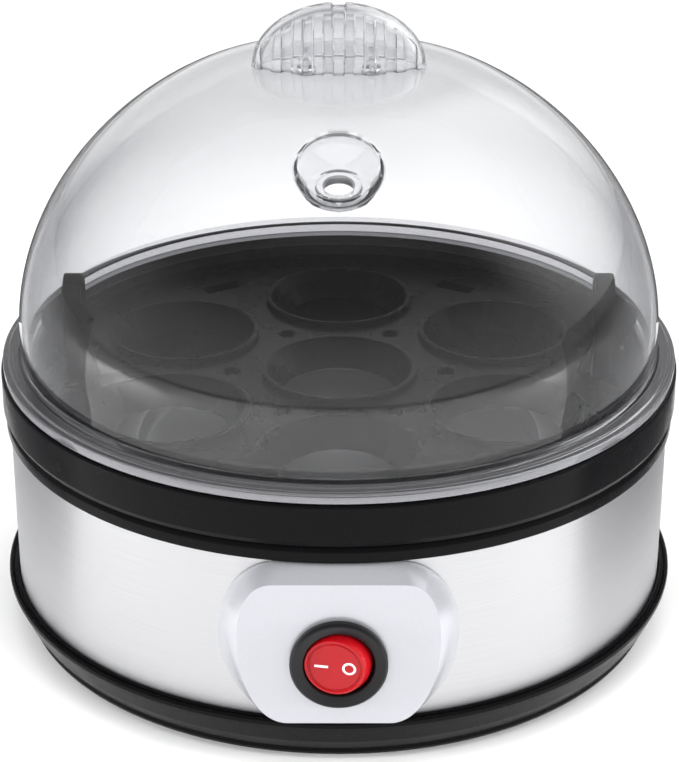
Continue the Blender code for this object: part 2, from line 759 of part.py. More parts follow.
def screw_recesses():
    """Return the cutters for the screw heads and shanks."""
    shape = bmesh.new()
    for k in range(POST_COUNT):
        low = around(post_circle, post_angle(k), pan_bottom - OVERRUN)
        steps = [(0, low.z), (cup_outer - CUP_WALL, low.z), (cup_outer - CUP_WALL, pan_bottom + CUP_DEPTH),
                 (SCREW_RADIUS + FIT_GAP, pan_bottom + CUP_DEPTH), (SCREW_RADIUS + FIT_GAP, cup_top + OVERRUN),
                 (0, cup_top + OVERRUN)]
        add_shape(shape, lathe(steps, SMALL_SEGMENTS, (low.x, low.y, 0)))
    return shape


def foot_place(k):
    """Return the place of a foot on the floor."""
    return around(FOOT_CIRCLE, math.radians(45) + k * math.radians(90))


def pan_holes():
    """Return the cutters for the feet, the cord, the block's screw and the air slots."""
    shape = bmesh.new()
    low, high = pan_bottom - OVERRUN, pan_floor + OVERRUN
    up = Vector((0, 0, 1))
    for k in range(4):
        rod(shape, FOOT_STEM_RADIUS + FIT_GAP, foot_place(k) + up * low, foot_place(k) + up * high,
            TINY_SEGMENTS)
    rod(shape, GLAND_NECK_RADIUS + FIT_GAP, (0, spigot_inner - PAN_WALL - OVERRUN, gland_level()),
        (0, gland_face() + OVERRUN, gland_level()), SMALL_SEGMENTS)
    rod(shape, BLOCK_SCREW_RADIUS + FIT_GAP, (0, BLOCK_PLACE, low), (0, BLOCK_PLACE, high), TINY_SEGMENTS)
    for k in range(VENT_SLOTS):
        x = (k - (VENT_SLOTS - 1) / 2) * VENT_SLOT_PITCH
        block(shape, (x - VENT_SLOT_WIDTH / 2, -VENT_SLOT_LENGTH / 2, low),
              (x + VENT_SLOT_WIDTH / 2, VENT_SLOT_LENGTH / 2, high))
    return shape


def lead(name, start, leave, end, arrive):
    """Make one insulated lead, a smooth curve that leaves and arrives along the given handles."""
    start, leave, end, arrive = Vector(start), Vector(leave), Vector(end), Vector(arrive)
    first = start + leave.normalized() * (LEAD_END_GAP + 2 * LEAD_RADIUS)
    last = end + arrive.normalized() * (LEAD_END_GAP + 2 * LEAD_RADIUS)
    route = [start + leave.normalized() * LEAD_END_GAP]
    for k in range(LEAD_STEPS + 1):
        t = k / LEAD_STEPS
        route.append(first * (1 - t) ** 3 + (first + leave) * 3 * t * (1 - t) ** 2
                     + (last + arrive) * 3 * t ** 2 * (1 - t) + last * t ** 3)
    route.append(end + arrive.normalized() * LEAD_END_GAP)
    add_piece(name, tube(route, LEAD_RADIUS, LEAD_SEGMENTS), "lead_cover")


def leads():
    """Make the leads between the block, switch, thermostat, fuse, element and earth."""
    blade_y = barrel_back + SEAT_GAP + BLADE_LENGTH
    block_y = BLOCK_PLACE - BLOCK_DEPTH / 2
    pole = [Vector(((k - (BLOCK_POLES - 1) / 2) * BLOCK_PITCH + BLOCK_PITCH / 8, block_y, bore_level()))
            for k in range(BLOCK_POLES)]
    blades_low = thermostat_top() - THERMOSTAT_CAP_HEIGHT - THERMOSTAT_BODY_HEIGHT - BLADE_LENGTH
    half = THERMOSTAT_RADIUS / 2
    wire = FUSE_LENGTH / 2 + FUSE_LEAD_LENGTH
    fuse_level = dish_under - SEAT_GAP - CLIP_THICKNESS - FUSE_RADIUS
    left_pin, right_pin = element_pins()
    down = Vector((0, 0, -LEAD_PULL))
    lead("lead_switch_in", (-TERMINAL_SPACING, blade_y, switch_level), (0, LEAD_PULL, 0),
         pole[1], (0, -3 * LEAD_PULL, 0))
    lead("lead_switch_out", (0, blade_y, switch_level), (0, LEAD_PULL, 0), (half, 0, blades_low), down)
    lead("lead_thermostat", (-half, 0, blades_low), down,
         (-wire, fuse_y(), fuse_level), (-LEAD_PULL, 0, 0))
    lead("lead_fuse", (wire, fuse_y(), fuse_level), (LEAD_PULL, 0, 0), right_pin, down)
    lead("lead_element", left_pin, down, pole[0], (0, -3 * LEAD_PULL, 0))
    stud = stud_places()[0]
    lead("lead_earth", pole[2], (0, -LEAD_PULL, 0), (stud.x, stud.y, dish_under - STUD_LENGTH), down)


def feet():
    """Make four rubber feet that share one mesh, each pushed into its hole."""
    stem_top = pan_floor + SEAT_GAP
    profile = [
        (0, 0), (FOOT_RADIUS - EDGE, 0), (FOOT_RADIUS, EDGE), (FOOT_RADIUS, pan_bottom - SEAT_GAP),
        (FOOT_STEM_RADIUS, pan_bottom - SEAT_GAP), (FOOT_STEM_RADIUS, stem_top), (FOOT_HEAD_RADIUS, stem_top),
        (FOOT_STEM_RADIUS, stem_top + FOOT_HEAD_HEIGHT), (0, stem_top + FOOT_HEAD_HEIGHT)]
    first = None
    for k, label in enumerate(("rear_right", "rear_left", "front_left", "front_right")):
        if first is None:
            first = add_piece(f"foot_{label}", lathe(profile, SMALL_SEGMENTS), "rubber", foot_place(k))
        else:
            place(f"foot_{label}", first.data, foot_place(k))


def screw_shape(shank, head, head_height, length):
    """Return a pan-head screw: its head's seat is at the origin and its shank points up."""
    return lathe([
        (0, -head_height), (head - EDGE, -head_height), (head, -head_height / 2), (head, 0), (shank, 0),
        (shank, length - shank), (0, length)], TINY_SEGMENTS)


def housing_screws():
    """Make the four screws that pull the pan and the upper housing together."""
    length = CUP_WEB + SCREW_LENGTH - OVERRUN
    level = pan_bottom + CUP_DEPTH - SEAT_GAP
    shape = screw_shape(SCREW_RADIUS, SCREW_HEAD_RADIUS, SCREW_HEAD_HEIGHT, length)
    mesh = None
    for k in range(POST_COUNT):
        spot = around(post_circle, post_angle(k), level)
        if mesh is None:
            mesh = add_piece(f"housing_screw_{k + 1}", shape, "pressed_steel", spot).data
        else:
            place(f"housing_screw_{k + 1}", mesh, spot)


def cord_gland():
    """Make the bush in the rear wall: barb, neck, flange, nose and bore."""
    barb = GLAND_NECK_RADIUS + GLAND_BARB
    neck_start = math.sqrt(flat_radius(spigot_inner - FIT_GAP) ** 2 - barb ** 2) - SEAT_GAP
    face = gland_face() + SEAT_GAP
    flange_end = face + GLAND_FLANGE_THICKNESS
    nose_end = flange_end + GLAND_NOSE
    profile = [
        (GLAND_BORE_RADIUS, neck_start - GLAND_BARB_LENGTH), (GLAND_NECK_RADIUS, neck_start - GLAND_BARB_LENGTH),
        (barb, neck_start), (GLAND_NECK_RADIUS, neck_start), (GLAND_NECK_RADIUS, face),
        (GLAND_FLANGE_RADIUS, face), (GLAND_FLANGE_RADIUS, flange_end - EDGE),
        (GLAND_FLANGE_RADIUS - EDGE, flange_end), (GLAND_NECK_RADIUS, flange_end + EDGE),
        (GLAND_NECK_RADIUS - GLAND_BARB, nose_end), (GLAND_BORE_RADIUS, nose_end)]
    add_piece("cord_gland", lathe(profile, SMALL_SEGMENTS, (0, 0, gland_level()), "Y"), "rubber")


def bore_level():
    """Return the level of the terminal block's wire bores."""
    return pan_floor + SEAT_GAP + (BLOCK_HEIGHT - BLOCK_SHOULDER) / 2


def terminal_block():
    """Make the three-pole terminal block on the pan's floor, and the screw that holds it."""
    low = pan_floor + SEAT_GAP
    top = low + BLOCK_HEIGHT
    shape = block(bmesh.new(), (-BLOCK_WIDTH / 2, BLOCK_PLACE - BLOCK_DEPTH / 2, low),
                  (BLOCK_WIDTH / 2, BLOCK_PLACE + BLOCK_DEPTH / 2, top - BLOCK_SHOULDER))
    body = add_piece("terminal_block", shape, "block_white")
    level = bore_level()
    humps = bmesh.new()
    bores = bmesh.new()
    for k in range(BLOCK_POLES):
        x = (k - (BLOCK_POLES - 1) / 2) * BLOCK_PITCH
        y = BLOCK_PLACE + (BLOCK_DEPTH / 4 if k % 2 else 0)
        rod(humps, BLOCK_PITCH / 3, (x, y, level), (x, y, top), TINY_SEGMENTS)
        rod(bores, BLOCK_BORE_RADIUS, (x + BLOCK_PITCH / 8, BLOCK_PLACE - BLOCK_DEPTH, level),
            (x + BLOCK_PITCH / 8, BLOCK_PLACE + BLOCK_DEPTH, level), TINY_SEGMENTS)
    join(body, "block_humps", humps)
    cut(body, "block_bores", bores)
    hole = rod(bmesh.new(), BLOCK_SCREW_RADIUS + FIT_GAP, (0, BLOCK_PLACE, low - OVERRUN),
               (0, BLOCK_PLACE, top + OVERRUN), TINY_SEGMENTS)
    cut(body, "block_screw_hole", hole)
    screw = screw_shape(BLOCK_SCREW_RADIUS, BLOCK_SCREW_HEAD_RADIUS, BLOCK_SCREW_HEAD_HEIGHT,
                        BLOCK_HEIGHT + PAN_WALL / 2)
    screw.transform(Matrix.Rotation(math.pi, 4, "X"))
    add_piece("block_screw", screw, "brass", (0, BLOCK_PLACE, top + SEAT_GAP))


def dome_curve(radius, rise, spring, crown, steps):
    """Return the dome's profile from its spring line up to the level where the crown is flat."""
    share = ((crown - spring) / rise) ** (DOME_CROWN_POWER / 2)
    last = math.asin(min(share, 1.0))
    points = []
    for k in range(steps + 1):
        t = last * k / steps
        points.append((radius * math.cos(t) ** (2 / DOME_SIDE_POWER),
                       spring + rise * math.sin(t) ** (2 / DOME_CROWN_POWER)))
    return points


def lid_dome():
    """Make the lid: outer form, less the inside, with the vent's cup left standing in it."""
    outer = dome_curve(dome_radius, DOME_RISE, dome_spring, crown_level, DOME_STEPS)
    bead_inner = flange_radius - FLANGE_BEAD_WIDTH
    spigot_outer_radius = lid_spigot_inner + LID_SPIGOT_WALL
    spigot_low = lid_bottom - LID_SPIGOT_DROP
    profile = [
        (0, spigot_low), (spigot_outer_radius, spigot_low), (spigot_outer_radius, lid_bottom),
        (flange_radius, lid_bottom), (flange_radius, flange_top - EDGE), (flange_radius - EDGE, flange_top),
        (bead_inner, flange_top), (bead_inner - EDGE / 2, shelf_top), (dome_radius + 2 * EDGE, shelf_top),
        (dome_radius + EDGE / 2, shelf_top + EDGE), *outer, (0, crown_level)]
    lid = add_piece("lid_dome", lathe(profile, RING_SEGMENTS), "clear_lid")
    inner = dome_curve(lid_spigot_inner, DOME_RISE - LID_WALL, dome_spring, crown_level - LID_WALL,
                       DOME_STEPS - 3)
    hollow = [(0, spigot_low - OVERRUN), (lid_spigot_inner, spigot_low - OVERRUN), *inner,
              (0, crown_level - LID_WALL)]
    hollow_tool = add_tool("lid_hollow", lathe(hollow, RING_SEGMENTS))
    place_on, inward = vent_axis()
    floor = place_on + inward * VENT_DEPTH
    above = place_on - inward * (VENT_RADIUS + OVERRUN)
    boss = rod(bmesh.new(), VENT_RADIUS + LID_WALL, floor + inward * LID_WALL, above, VENT_SEGMENTS)
    combine(hollow_tool, add_tool("vent_boss", boss), "DIFFERENCE")
    combine(lid, hollow_tool, "DIFFERENCE")
    cut(lid, "vent_pocket", rod(bmesh.new(), VENT_RADIUS, floor, above, VENT_SEGMENTS))
    ring = rod(bmesh.new(), VENT_RING_RADIUS, floor + inward * (LID_WALL / 2),
               floor - inward * VENT_RING_HEIGHT, VENT_SEGMENTS)
    join(lid, "vent_ring", ring)
    cut(lid, "vent_hole", rod(bmesh.new(), VENT_HOLE_RADIUS, floor + inward * (LID_WALL + OVERRUN),
                              floor - inward * (VENT_RING_HEIGHT + OVERRUN), SMALL_SEGMENTS))
    pegs = bmesh.new()
    for side in (-1, 1):
        x = side * PEG_OFFSET
        rod(pegs, PEG_RADIUS + FIT_GAP, (x, 0, crown_level - LID_WALL - OVERRUN),
            (x, 0, crown_level + OVERRUN), TINY_SEGMENTS)
    cut(lid, "peg_holes", pegs)


def vent_axis():
    """Return the middle of the vent's mouth on the dome and the direction into the vent."""
    share = (VENT_SETBACK / dome_radius) ** (DOME_SIDE_POWER / 2)
    level = dome_spring + DOME_RISE * math.sqrt(1 - share ** 2) ** (2 / DOME_CROWN_POWER)
    inward = Vector((0, math.sin(VENT_TILT), -math.cos(VENT_TILT)))
    return Vector((0, -VENT_SETBACK, level)), inward


def grip_surface(shape, half_width, half_depth, height, flute_depth, steps, base):
    """Add the open half-ellipsoid of the grip to a bmesh and return its rows of points."""
    rows = [[shape.verts.new((-half_width, 0, base))]]
    for i in range(1, steps):
        x = -half_width + 2 * half_width * i / steps
        span = math.sqrt(1 - (x / half_width) ** 2)
        flute = flute_depth * (0.5 + 0.5 * math.cos(math.tau * x / FLUTE_PITCH)) * span
        row = []
        for j in range(GRIP_ARC_STEPS + 1):
            v = math.pi * j / GRIP_ARC_STEPS
            row.append(shape.verts.new((x, -math.cos(v) * (half_depth * span - flute),
                                        base + height * span * math.sin(v))))
        rows.append(row)
    rows.append([shape.verts.new((half_width, 0, base))])
    for a, b in zip(rows, rows[1:]):
        for j in range(GRIP_ARC_STEPS):
            corners = [a[min(j, len(a) - 1)], a[min(j + 1, len(a) - 1)], b[min(j + 1, len(b) - 1)],
                       b[min(j, len(b) - 1)]]
            shape.faces.new(list(dict.fromkeys(corners)))
    return rows


def lid_grip():
    """Make the fluted grip: a hollow half-ellipsoid with a smooth rim, held by two pegs."""
    shape = bmesh.new()
    base = crown_level + SEAT_GAP
    flutes = round(2 * GRIP_HALF_WIDTH / FLUTE_PITCH)
    steps = flutes * GRIP_STEPS_PER_FLUTE
    outer = grip_surface(shape, GRIP_HALF_WIDTH, GRIP_HALF_DEPTH, GRIP_HEIGHT, FLUTE_DEPTH, steps, base)
    inner = grip_surface(shape, GRIP_HALF_WIDTH - GRIP_WALL, GRIP_HALF_DEPTH - GRIP_WALL,
                         GRIP_HEIGHT - GRIP_WALL, 0.0, steps, base)
    for i in range(steps):
        for end in (0, -1):
            corners = [outer[i][end], outer[i + 1][end], inner[i + 1][end], inner[i][end]]
            shape.faces.new(corners)
    bmesh.ops.recalc_face_normals(shape, faces=shape.faces[:])
    grip = add_piece("lid_grip", shape, "clear_lid")
    pegs = bmesh.new()
    under = crown_level - LID_WALL - SEAT_GAP
    peg_top = base + (GRIP_HEIGHT - GRIP_WALL / 2) * math.sqrt(1 - (PEG_OFFSET / GRIP_HALF_WIDTH) ** 2)
    for side in (-1, 1):
        profile = [(0, under - PEG_HEAD_THICKNESS), (PEG_HEAD_RADIUS - EDGE, under - PEG_HEAD_THICKNESS),
                   (PEG_HEAD_RADIUS, under), (PEG_RADIUS, under), (PEG_RADIUS, peg_top), (0, peg_top)]
        add_shape(pegs, lathe(profile, TINY_SEGMENTS, (side * PEG_OFFSET, 0, 0)))
    join(grip, "grip_pegs", pegs)
    notch = block(bmesh.new(), (-GRIP_NOTCH_WIDTH / 2, -GRIP_HALF_DEPTH, base + GRIP_HEIGHT - GRIP_NOTCH_DEPTH),
                  (GRIP_NOTCH_WIDTH / 2, GRIP_HALF_DEPTH, base + GRIP_HEIGHT + OVERRUN))
    cut(grip, "grip_notch", notch)


def heating_plate():
    """Make the water dish: flange, wall, floor and the studs welded under it."""
    wall_out = dish_wall_radius
    wall_in = wall_out - DISH_THICKNESS
    profile = [
        (0, dish_floor), (wall_in - DISH_CORNER, dish_floor), (wall_in, dish_floor + DISH_CORNER),
        (wall_in, dish_top - DISH_CORNER / 2), (wall_in + DISH_CORNER / 2, dish_top),
        (DISH_FLANGE_RADIUS, dish_top), (DISH_FLANGE_RADIUS, dish_flange_under),
        (wall_out, dish_flange_under), (wall_out, dish_under + DISH_CORNER), (wall_out - DISH_CORNER, dish_under),
        (0, dish_under)]
    dish = add_piece("heating_plate", lathe(profile, RING_SEGMENTS), "dish_metal")
    studs = bmesh.new()
    root = dish_under + DISH_THICKNESS / 2
    for spot in stud_places():
        rod(studs, STUD_RADIUS, (spot.x, spot.y, dish_under - STUD_LENGTH), (spot.x, spot.y, root), TINY_SEGMENTS)
    for spot in small_stud_places():
        rod(studs, SMALL_STUD_RADIUS, (spot.x, spot.y, dish_under - SMALL_STUD_LENGTH),
            (spot.x, spot.y, root), TINY_SEGMENTS)
    join(dish, "dish_studs", studs)


def stud_places():
    """Return where the studs for the element cover stand."""
    return [around(stud_circle, math.radians(90) + k * math.tau / STUD_COUNT) for k in range(STUD_COUNT)]


def fuse_y():
    """Return how far behind the thermostat the fuse lies."""
    return THERMOSTAT_RADIUS + 2 * FUSE_RADIUS + FIT_GAP


def small_stud_places():
    """Return where the studs for the thermostat and the fuse clip stand."""
    return [Vector((-THERMOSTAT_EAR_OFFSET, 0, 0)), Vector((THERMOSTAT_EAR_OFFSET, 0, 0)),
            Vector((0, fuse_y() + clip_hole_reach(), 0))]


def clip_hole_reach():
    """Return how far from the fuse's axis the clip's tab has its hole."""
    return FUSE_RADIUS + CLIP_TAB / 2 + CLIP_THICKNESS


def beside_thermostat(shape):
    """Turn and move a shape made on the Y axis to where the fuse lies, along X."""
    shape.transform(Matrix.Translation((0, fuse_y(), 0)) @ Matrix.Rotation(math.radians(90), 4, "Z"))
    return shape


def plate_seal():
    """Make the silicone ring between the dish's flange and the ledge."""
    outer = DISH_FLANGE_RADIUS - SEAL_INSET
    inner = ledge_inner + SEAL_INSET
    profile = [(outer, seal_bottom), (outer, seal_top), (inner, seal_top), (inner, seal_bottom)]
    add_piece("plate_seal", lathe(profile, HIDDEN_SEGMENTS), "silicone")


def element_route():
    """Return the points of the element's ring, with both ends bent down, from left to right."""
    half_gap = ELEMENT_GAP_ANGLE / 2
    left = math.radians(-90) - half_gap
    sweep = math.tau - 2 * half_gap
    ring = [around(ELEMENT_CIRCLE, left - sweep * k / ELEMENT_STEPS, element_level)
            for k in range(ELEMENT_STEPS + 1)]
    ends = []
    for point, before in ((ring[0], ring[1]), (ring[-1], ring[-2])):
        along = (point - before).normalized()
        bend = []
        for k in range(1, ELEMENT_BEND_STEPS + 1):
            turn = math.radians(90) * k / ELEMENT_BEND_STEPS
            drop = Vector((0, 0, ELEMENT_BEND * (1 - math.cos(turn))))
            bend.append(point + along * ELEMENT_BEND * math.sin(turn) - drop)
        ends.append(bend + [bend[-1] - Vector((0, 0, ELEMENT_TAIL))])
    return [*reversed(ends[0]), *ring, *ends[1]]


def element_pins():
    """Return the lower ends of the element's two pins, left and right."""
    route = element_route()
    return [tail - Vector((0, 0, ELEMENT_PIN_LENGTH)) for tail in (route[0], route[-1])]


def heating_element():
    """Make the element: a sheathed tube in an open ring whose ends turn down to two pins."""
    element = add_piece("heating_element", tube(element_route(), ELEMENT_RADIUS, TINY_SEGMENTS), "pressed_steel")
    for low, label in zip(element_pins(), ("left", "right")):
        pin = rod(bmesh.new(), ELEMENT_PIN_RADIUS, low,
                  low + Vector((0, 0, ELEMENT_PIN_LENGTH + ELEMENT_PIN_RADIUS)), TINY_SEGMENTS)
        join(element, f"element_pin_{label}", pin)


def element_cover():
    """Make the pressed cover: a ring under the element with three arms to the housing's ledge."""
    profile = [(COVER_HOLE_RADIUS, cover_under), (cover_radius, cover_under), (cover_radius, cover_top),
               (COVER_HOLE_RADIUS, cover_top)]
    cover = add_piece("element_cover", lathe(profile, HIDDEN_SEGMENTS), "pressed_steel")
    holes = bmesh.new()
    for spot in stud_places():
        rod(holes, STUD_RADIUS + FIT_GAP, (spot.x, spot.y, cover_under - OVERRUN),
            (spot.x, spot.y, cover_top + OVERRUN), TINY_SEGMENTS)
    arms = bmesh.new()
    reach = ledge_inner + HOUSING_WALL
    arm_top = ledge_under - SEAT_GAP
    for k in range(STUD_COUNT):
        arm = bmesh.new()
        outline = [
            (cover_radius - COVER_RIM_WIDTH / 2, 0, cover_under), (cover_radius + EDGE, 0, cover_under),
            (reach - COVER_THICKNESS, 0, arm_top - COVER_THICKNESS),
            (reach + COVER_RIM_WIDTH / 2, 0, arm_top - COVER_THICKNESS),
            (reach + COVER_RIM_WIDTH / 2, 0, arm_top), (reach - 2 * COVER_THICKNESS, 0, arm_top),
            (cover_radius - EDGE, 0, cover_top), (cover_radius - COVER_RIM_WIDTH / 2, 0, cover_top)]
        prism(arm, outline, COVER_ARM_WIDTH)
        arm.transform(Matrix.Rotation(math.radians(90) + k * math.tau / STUD_COUNT, 4, "Z"))
        add_shape(arms, arm)
    join(cover, "cover_arms", arms)
    cut(cover, "cover_holes", holes)
    notch = bmesh.new()
    half = ELEMENT_CIRCLE * math.sin(ELEMENT_GAP_ANGLE / 2)
    block(notch, (-half, -cover_radius - OVERRUN, cover_under - OVERRUN),
          (half, -COVER_HOLE_RADIUS + OVERRUN, cover_top + OVERRUN))
    cut(cover, "cover_notch", notch)


def nut(name, radius, bore, thickness, spot, top):
    """Make one hexagon nut under a level."""
    shape = rod(bmesh.new(), radius, (spot.x, spot.y, top - thickness), (spot.x, spot.y, top), 6)
    piece = add_piece(name, shape, "pressed_steel")
    hole = rod(bmesh.new(), bore, (spot.x, spot.y, top - thickness - OVERRUN), (spot.x, spot.y, top + OVERRUN),
               TINY_SEGMENTS)
    cut(piece, f"{name}_bore", hole)


def nuts():
    """Make the nuts on the studs under the dish."""
    for k, spot in enumerate(stud_places()):
        nut(f"cover_nut_{k + 1}", NUT_RADIUS, STUD_RADIUS + FIT_GAP, NUT_THICKNESS, spot, cover_under - SEAT_GAP)
    small = small_stud_places()
    flange_under = thermostat_top() - THERMOSTAT_FLANGE
    names = ("thermostat_nut_1", "thermostat_nut_2", "fuse_nut")
    levels = (flange_under, flange_under, clip_top() - CLIP_THICKNESS)
    for name, spot, level in zip(names, small, levels):
        nut(name, SMALL_NUT_RADIUS, SMALL_STUD_RADIUS + FIT_GAP, SMALL_NUT_THICKNESS, spot, level - SEAT_GAP)


def thermostat_top():
    """Return the level of the thermostat's sensing face."""
    return dish_under - SEAT_GAP


def clip_top():
    """Return the level of the fuse clip's upper face."""
    return dish_under - SEAT_GAP


def thermostat():
    """Make the disc thermostat: cap and flange against the dish, ceramic body and two blades."""
    top = thermostat_top()
    cap_low = top - THERMOSTAT_CAP_HEIGHT
    body_low = cap_low - THERMOSTAT_BODY_HEIGHT
    body_radius = THERMOSTAT_RADIUS - EDGE
    profile = [(0, body_low), (body_radius, body_low), (body_radius, cap_low), (THERMOSTAT_RADIUS, cap_low),
               (THERMOSTAT_RADIUS, top - EDGE), (THERMOSTAT_RADIUS - EDGE, top), (0, top)]
    body = add_piece("thermostat", lathe(profile, SEAT_SEGMENTS), "ceramic")
    ears = bmesh.new()
    low, high = top - THERMOSTAT_FLANGE, top - FIT_GAP / 3
    for side in (-1, 1):
        x = side * THERMOSTAT_EAR_OFFSET
        tab = bmesh.new()
        rim = [(x + side * THERMOSTAT_EAR_RADIUS * math.cos(a), THERMOSTAT_EAR_RADIUS * math.sin(a), (low + high) / 2)
               for a in (math.radians(30 * k - 90) for k in range(7))]
        inner = side * THERMOSTAT_RADIUS / 2
        prism(tab, [(inner, -THERMOSTAT_EAR_RADIUS, (low + high) / 2), *rim,
                    (inner, THERMOSTAT_EAR_RADIUS, (low + high) / 2)], high - low)
        add_shape(ears, tab)
    join(body, "thermostat_ears", ears)
    holes = bmesh.new()
    for side in (-1, 1):
        x = side * THERMOSTAT_EAR_OFFSET
        rod(holes, SMALL_STUD_RADIUS + FIT_GAP, (x, 0, low - OVERRUN), (x, 0, high + OVERRUN), TINY_SEGMENTS)
    cut(body, "thermostat_ear_holes", holes)
    blades = bmesh.new()
    for side in (-1, 1):
        x = side * THERMOSTAT_RADIUS / 2
        block(blades, (x - BLADE_THICKNESS / 2, -BLADE_WIDTH / 2, body_low - BLADE_LENGTH),
              (x + BLADE_THICKNESS / 2, BLADE_WIDTH / 2, body_low + EDGE))
    join(body, "thermostat_blades", blades)


def thermal_fuse():
    """Make the thermal fuse, a small can with a wire at each end."""
    level = dish_under - SEAT_GAP - CLIP_THICKNESS - FUSE_RADIUS
    half = FUSE_LENGTH / 2
    reach = half + FUSE_LEAD_LENGTH
    profile = [
        (0, -reach), (FUSE_LEAD_RADIUS, -reach), (FUSE_LEAD_RADIUS, -half), (FUSE_RADIUS, FUSE_SHOULDER - half),
        (FUSE_RADIUS, half - FUSE_SHOULDER), (FUSE_LEAD_RADIUS, half), (FUSE_LEAD_RADIUS, reach), (0, reach)]
    shape = lathe(profile, TINY_SEGMENTS, (0, 0, level), "Y")
    add_piece("thermal_fuse", beside_thermostat(shape), "pressed_steel")


def fuse_clip():
    """Make the saddle clip, a bent strip with one tab for its nut."""
    outer = FUSE_RADIUS + FIT_GAP + CLIP_THICKNESS
    inner = FUSE_RADIUS + FIT_GAP
    level = dish_under - SEAT_GAP - CLIP_THICKNESS - FUSE_RADIUS
    top = clip_top()
    under = top - CLIP_THICKNESS
    arc = [math.radians(180 + 22.5 * k) for k in range(9)]
    outside = [(outer * math.cos(a), 0, level + outer * math.sin(a)) for a in arc]
    inside = [(inner * math.cos(a), 0, level + inner * math.sin(a)) for a in reversed(arc)]
    tab_end = outer + CLIP_TAB
    outline = [*outside, (outer, 0, under), (tab_end, 0, under), (tab_end, 0, top), (inner, 0, top), *inside,
               (-inner, 0, under), (-outer, 0, under)]
    clip = add_piece("fuse_clip", beside_thermostat(prism(bmesh.new(), outline, CLIP_WIDTH)), "pressed_steel")
    spot = small_stud_places()[-1]
    hole = rod(bmesh.new(), SMALL_STUD_RADIUS + FIT_GAP, (spot.x, spot.y, under - OVERRUN),
               (spot.x, spot.y, top + OVERRUN), TINY_SEGMENTS)
    cut(clip, "clip_hole", hole)


def panel_loop(inset, low_inset):
    """Return the panel's outline in x and z, moved in by an inset at the sides and top."""
    half_width = PANEL_HALF_WIDTH - inset
    half_height = panel_half_height - (inset + low_inset) / 2
    middle = panel_level - (inset - low_inset) / 2
    power = 2 / PANEL_CORNER_POWER
    quarter = []
    for k in range(PANEL_CORNER_STEPS + 1):
        t = math.pi / 2 * k / PANEL_CORNER_STEPS
        quarter.append((PANEL_FLAT_HALF + (half_width - PANEL_FLAT_HALF) * math.cos(t) ** power,
                        half_height * math.sin(t) ** power))
    upper_left = [(-x, z) for x, z in reversed(quarter)]
    lower_left = [(-x, -z) for x, z in quarter[1:]]
    lower_right = [(x, -z) for x, z in reversed(quarter[1:])]
    return [(x, middle + z) for x, z in quarter + upper_left + lower_left + lower_right]


def panel_body(wall, back):
    """Return a closed loft of the panel, thinner by a wall all round, that runs back to a plane."""
    shape = bmesh.new()
    side_share, depth_share = BEVEL_MIDDLE_SHARES
    front = panel_front + wall
    layers = [
        (0.0, lambda x: back),
        (0.0, lambda x: rim_front(x) + wall),
        (side_share * PANEL_BEVEL, lambda x: rim_front(x) + wall + (front - rim_front(x) - wall) * depth_share),
        (PANEL_BEVEL, lambda x: front)]
    loops = []
    for inset, depth in layers:
        loop = panel_loop(inset + wall, wall)
        loops.append([shape.verts.new((x, depth(x), z)) for x, z in loop])
    count = len(loops[0])
    for a, b in zip(loops, loops[1:]):
        for k in range(count):
            shape.faces.new((a[k], a[(k + 1) % count], b[(k + 1) % count], b[k]))
    shape.faces.new(loops[0])
    shape.faces.new(list(reversed(loops[-1])))
    bmesh.ops.recalc_face_normals(shape, faces=shape.faces[:])
    return shape


def rim_front(x):
    """Return how far forward the panel's edge stands at a place across it."""
    reach = band_radius + FIT_GAP
    return -math.sqrt(reach ** 2 - x ** 2) - PANEL_EDGE


def switch_panel():
    """Make the panel: a bevelled shell on the band, with a hole for the switch and two screw bosses."""
    back = -band_radius / 2
    panel = add_piece("switch_panel", panel_body(0.0, back), "silver_panel")
    cut(panel, "panel_hollow", panel_body(PANEL_WALL, back + OVERRUN))
    bosses = bmesh.new()
    pilots = bmesh.new()
    boss_end = -math.sqrt(band_radius ** 2 - (PANEL_BOSS_OFFSET - PANEL_BOSS_RADIUS) ** 2) - FIT_GAP
    for side in (-1, 1):
        x = side * PANEL_BOSS_OFFSET
        rod(bosses, PANEL_BOSS_RADIUS, (x, boss_end, panel_level), (x, panel_front + PANEL_WALL / 2, panel_level),
            SMALL_SEGMENTS)
        rod(pilots, PANEL_SCREW_RADIUS + FIT_GAP, (x, boss_end + OVERRUN, panel_level),
            (x, boss_end - PANEL_SCREW_BITE - FIT_GAP, panel_level), TINY_SEGMENTS)
    join(panel, "panel_bosses", bosses)
    cut(panel, "panel_pilots", pilots)
    core = [(0, panel_bottom - OVERRUN), (band_radius + FIT_GAP, panel_bottom - OVERRUN),
            (band_radius + FIT_GAP, panel_top + OVERRUN), (0, panel_top + OVERRUN)]
    cut(panel, "panel_core", lathe(core, 2 * RING_SEGMENTS))
    hole = rod(bmesh.new(), BARREL_RADIUS + FIT_GAP, (0, panel_front - OVERRUN, switch_level),
               (0, back, switch_level), SWITCH_SEGMENTS)
    cut(panel, "panel_hole", hole)


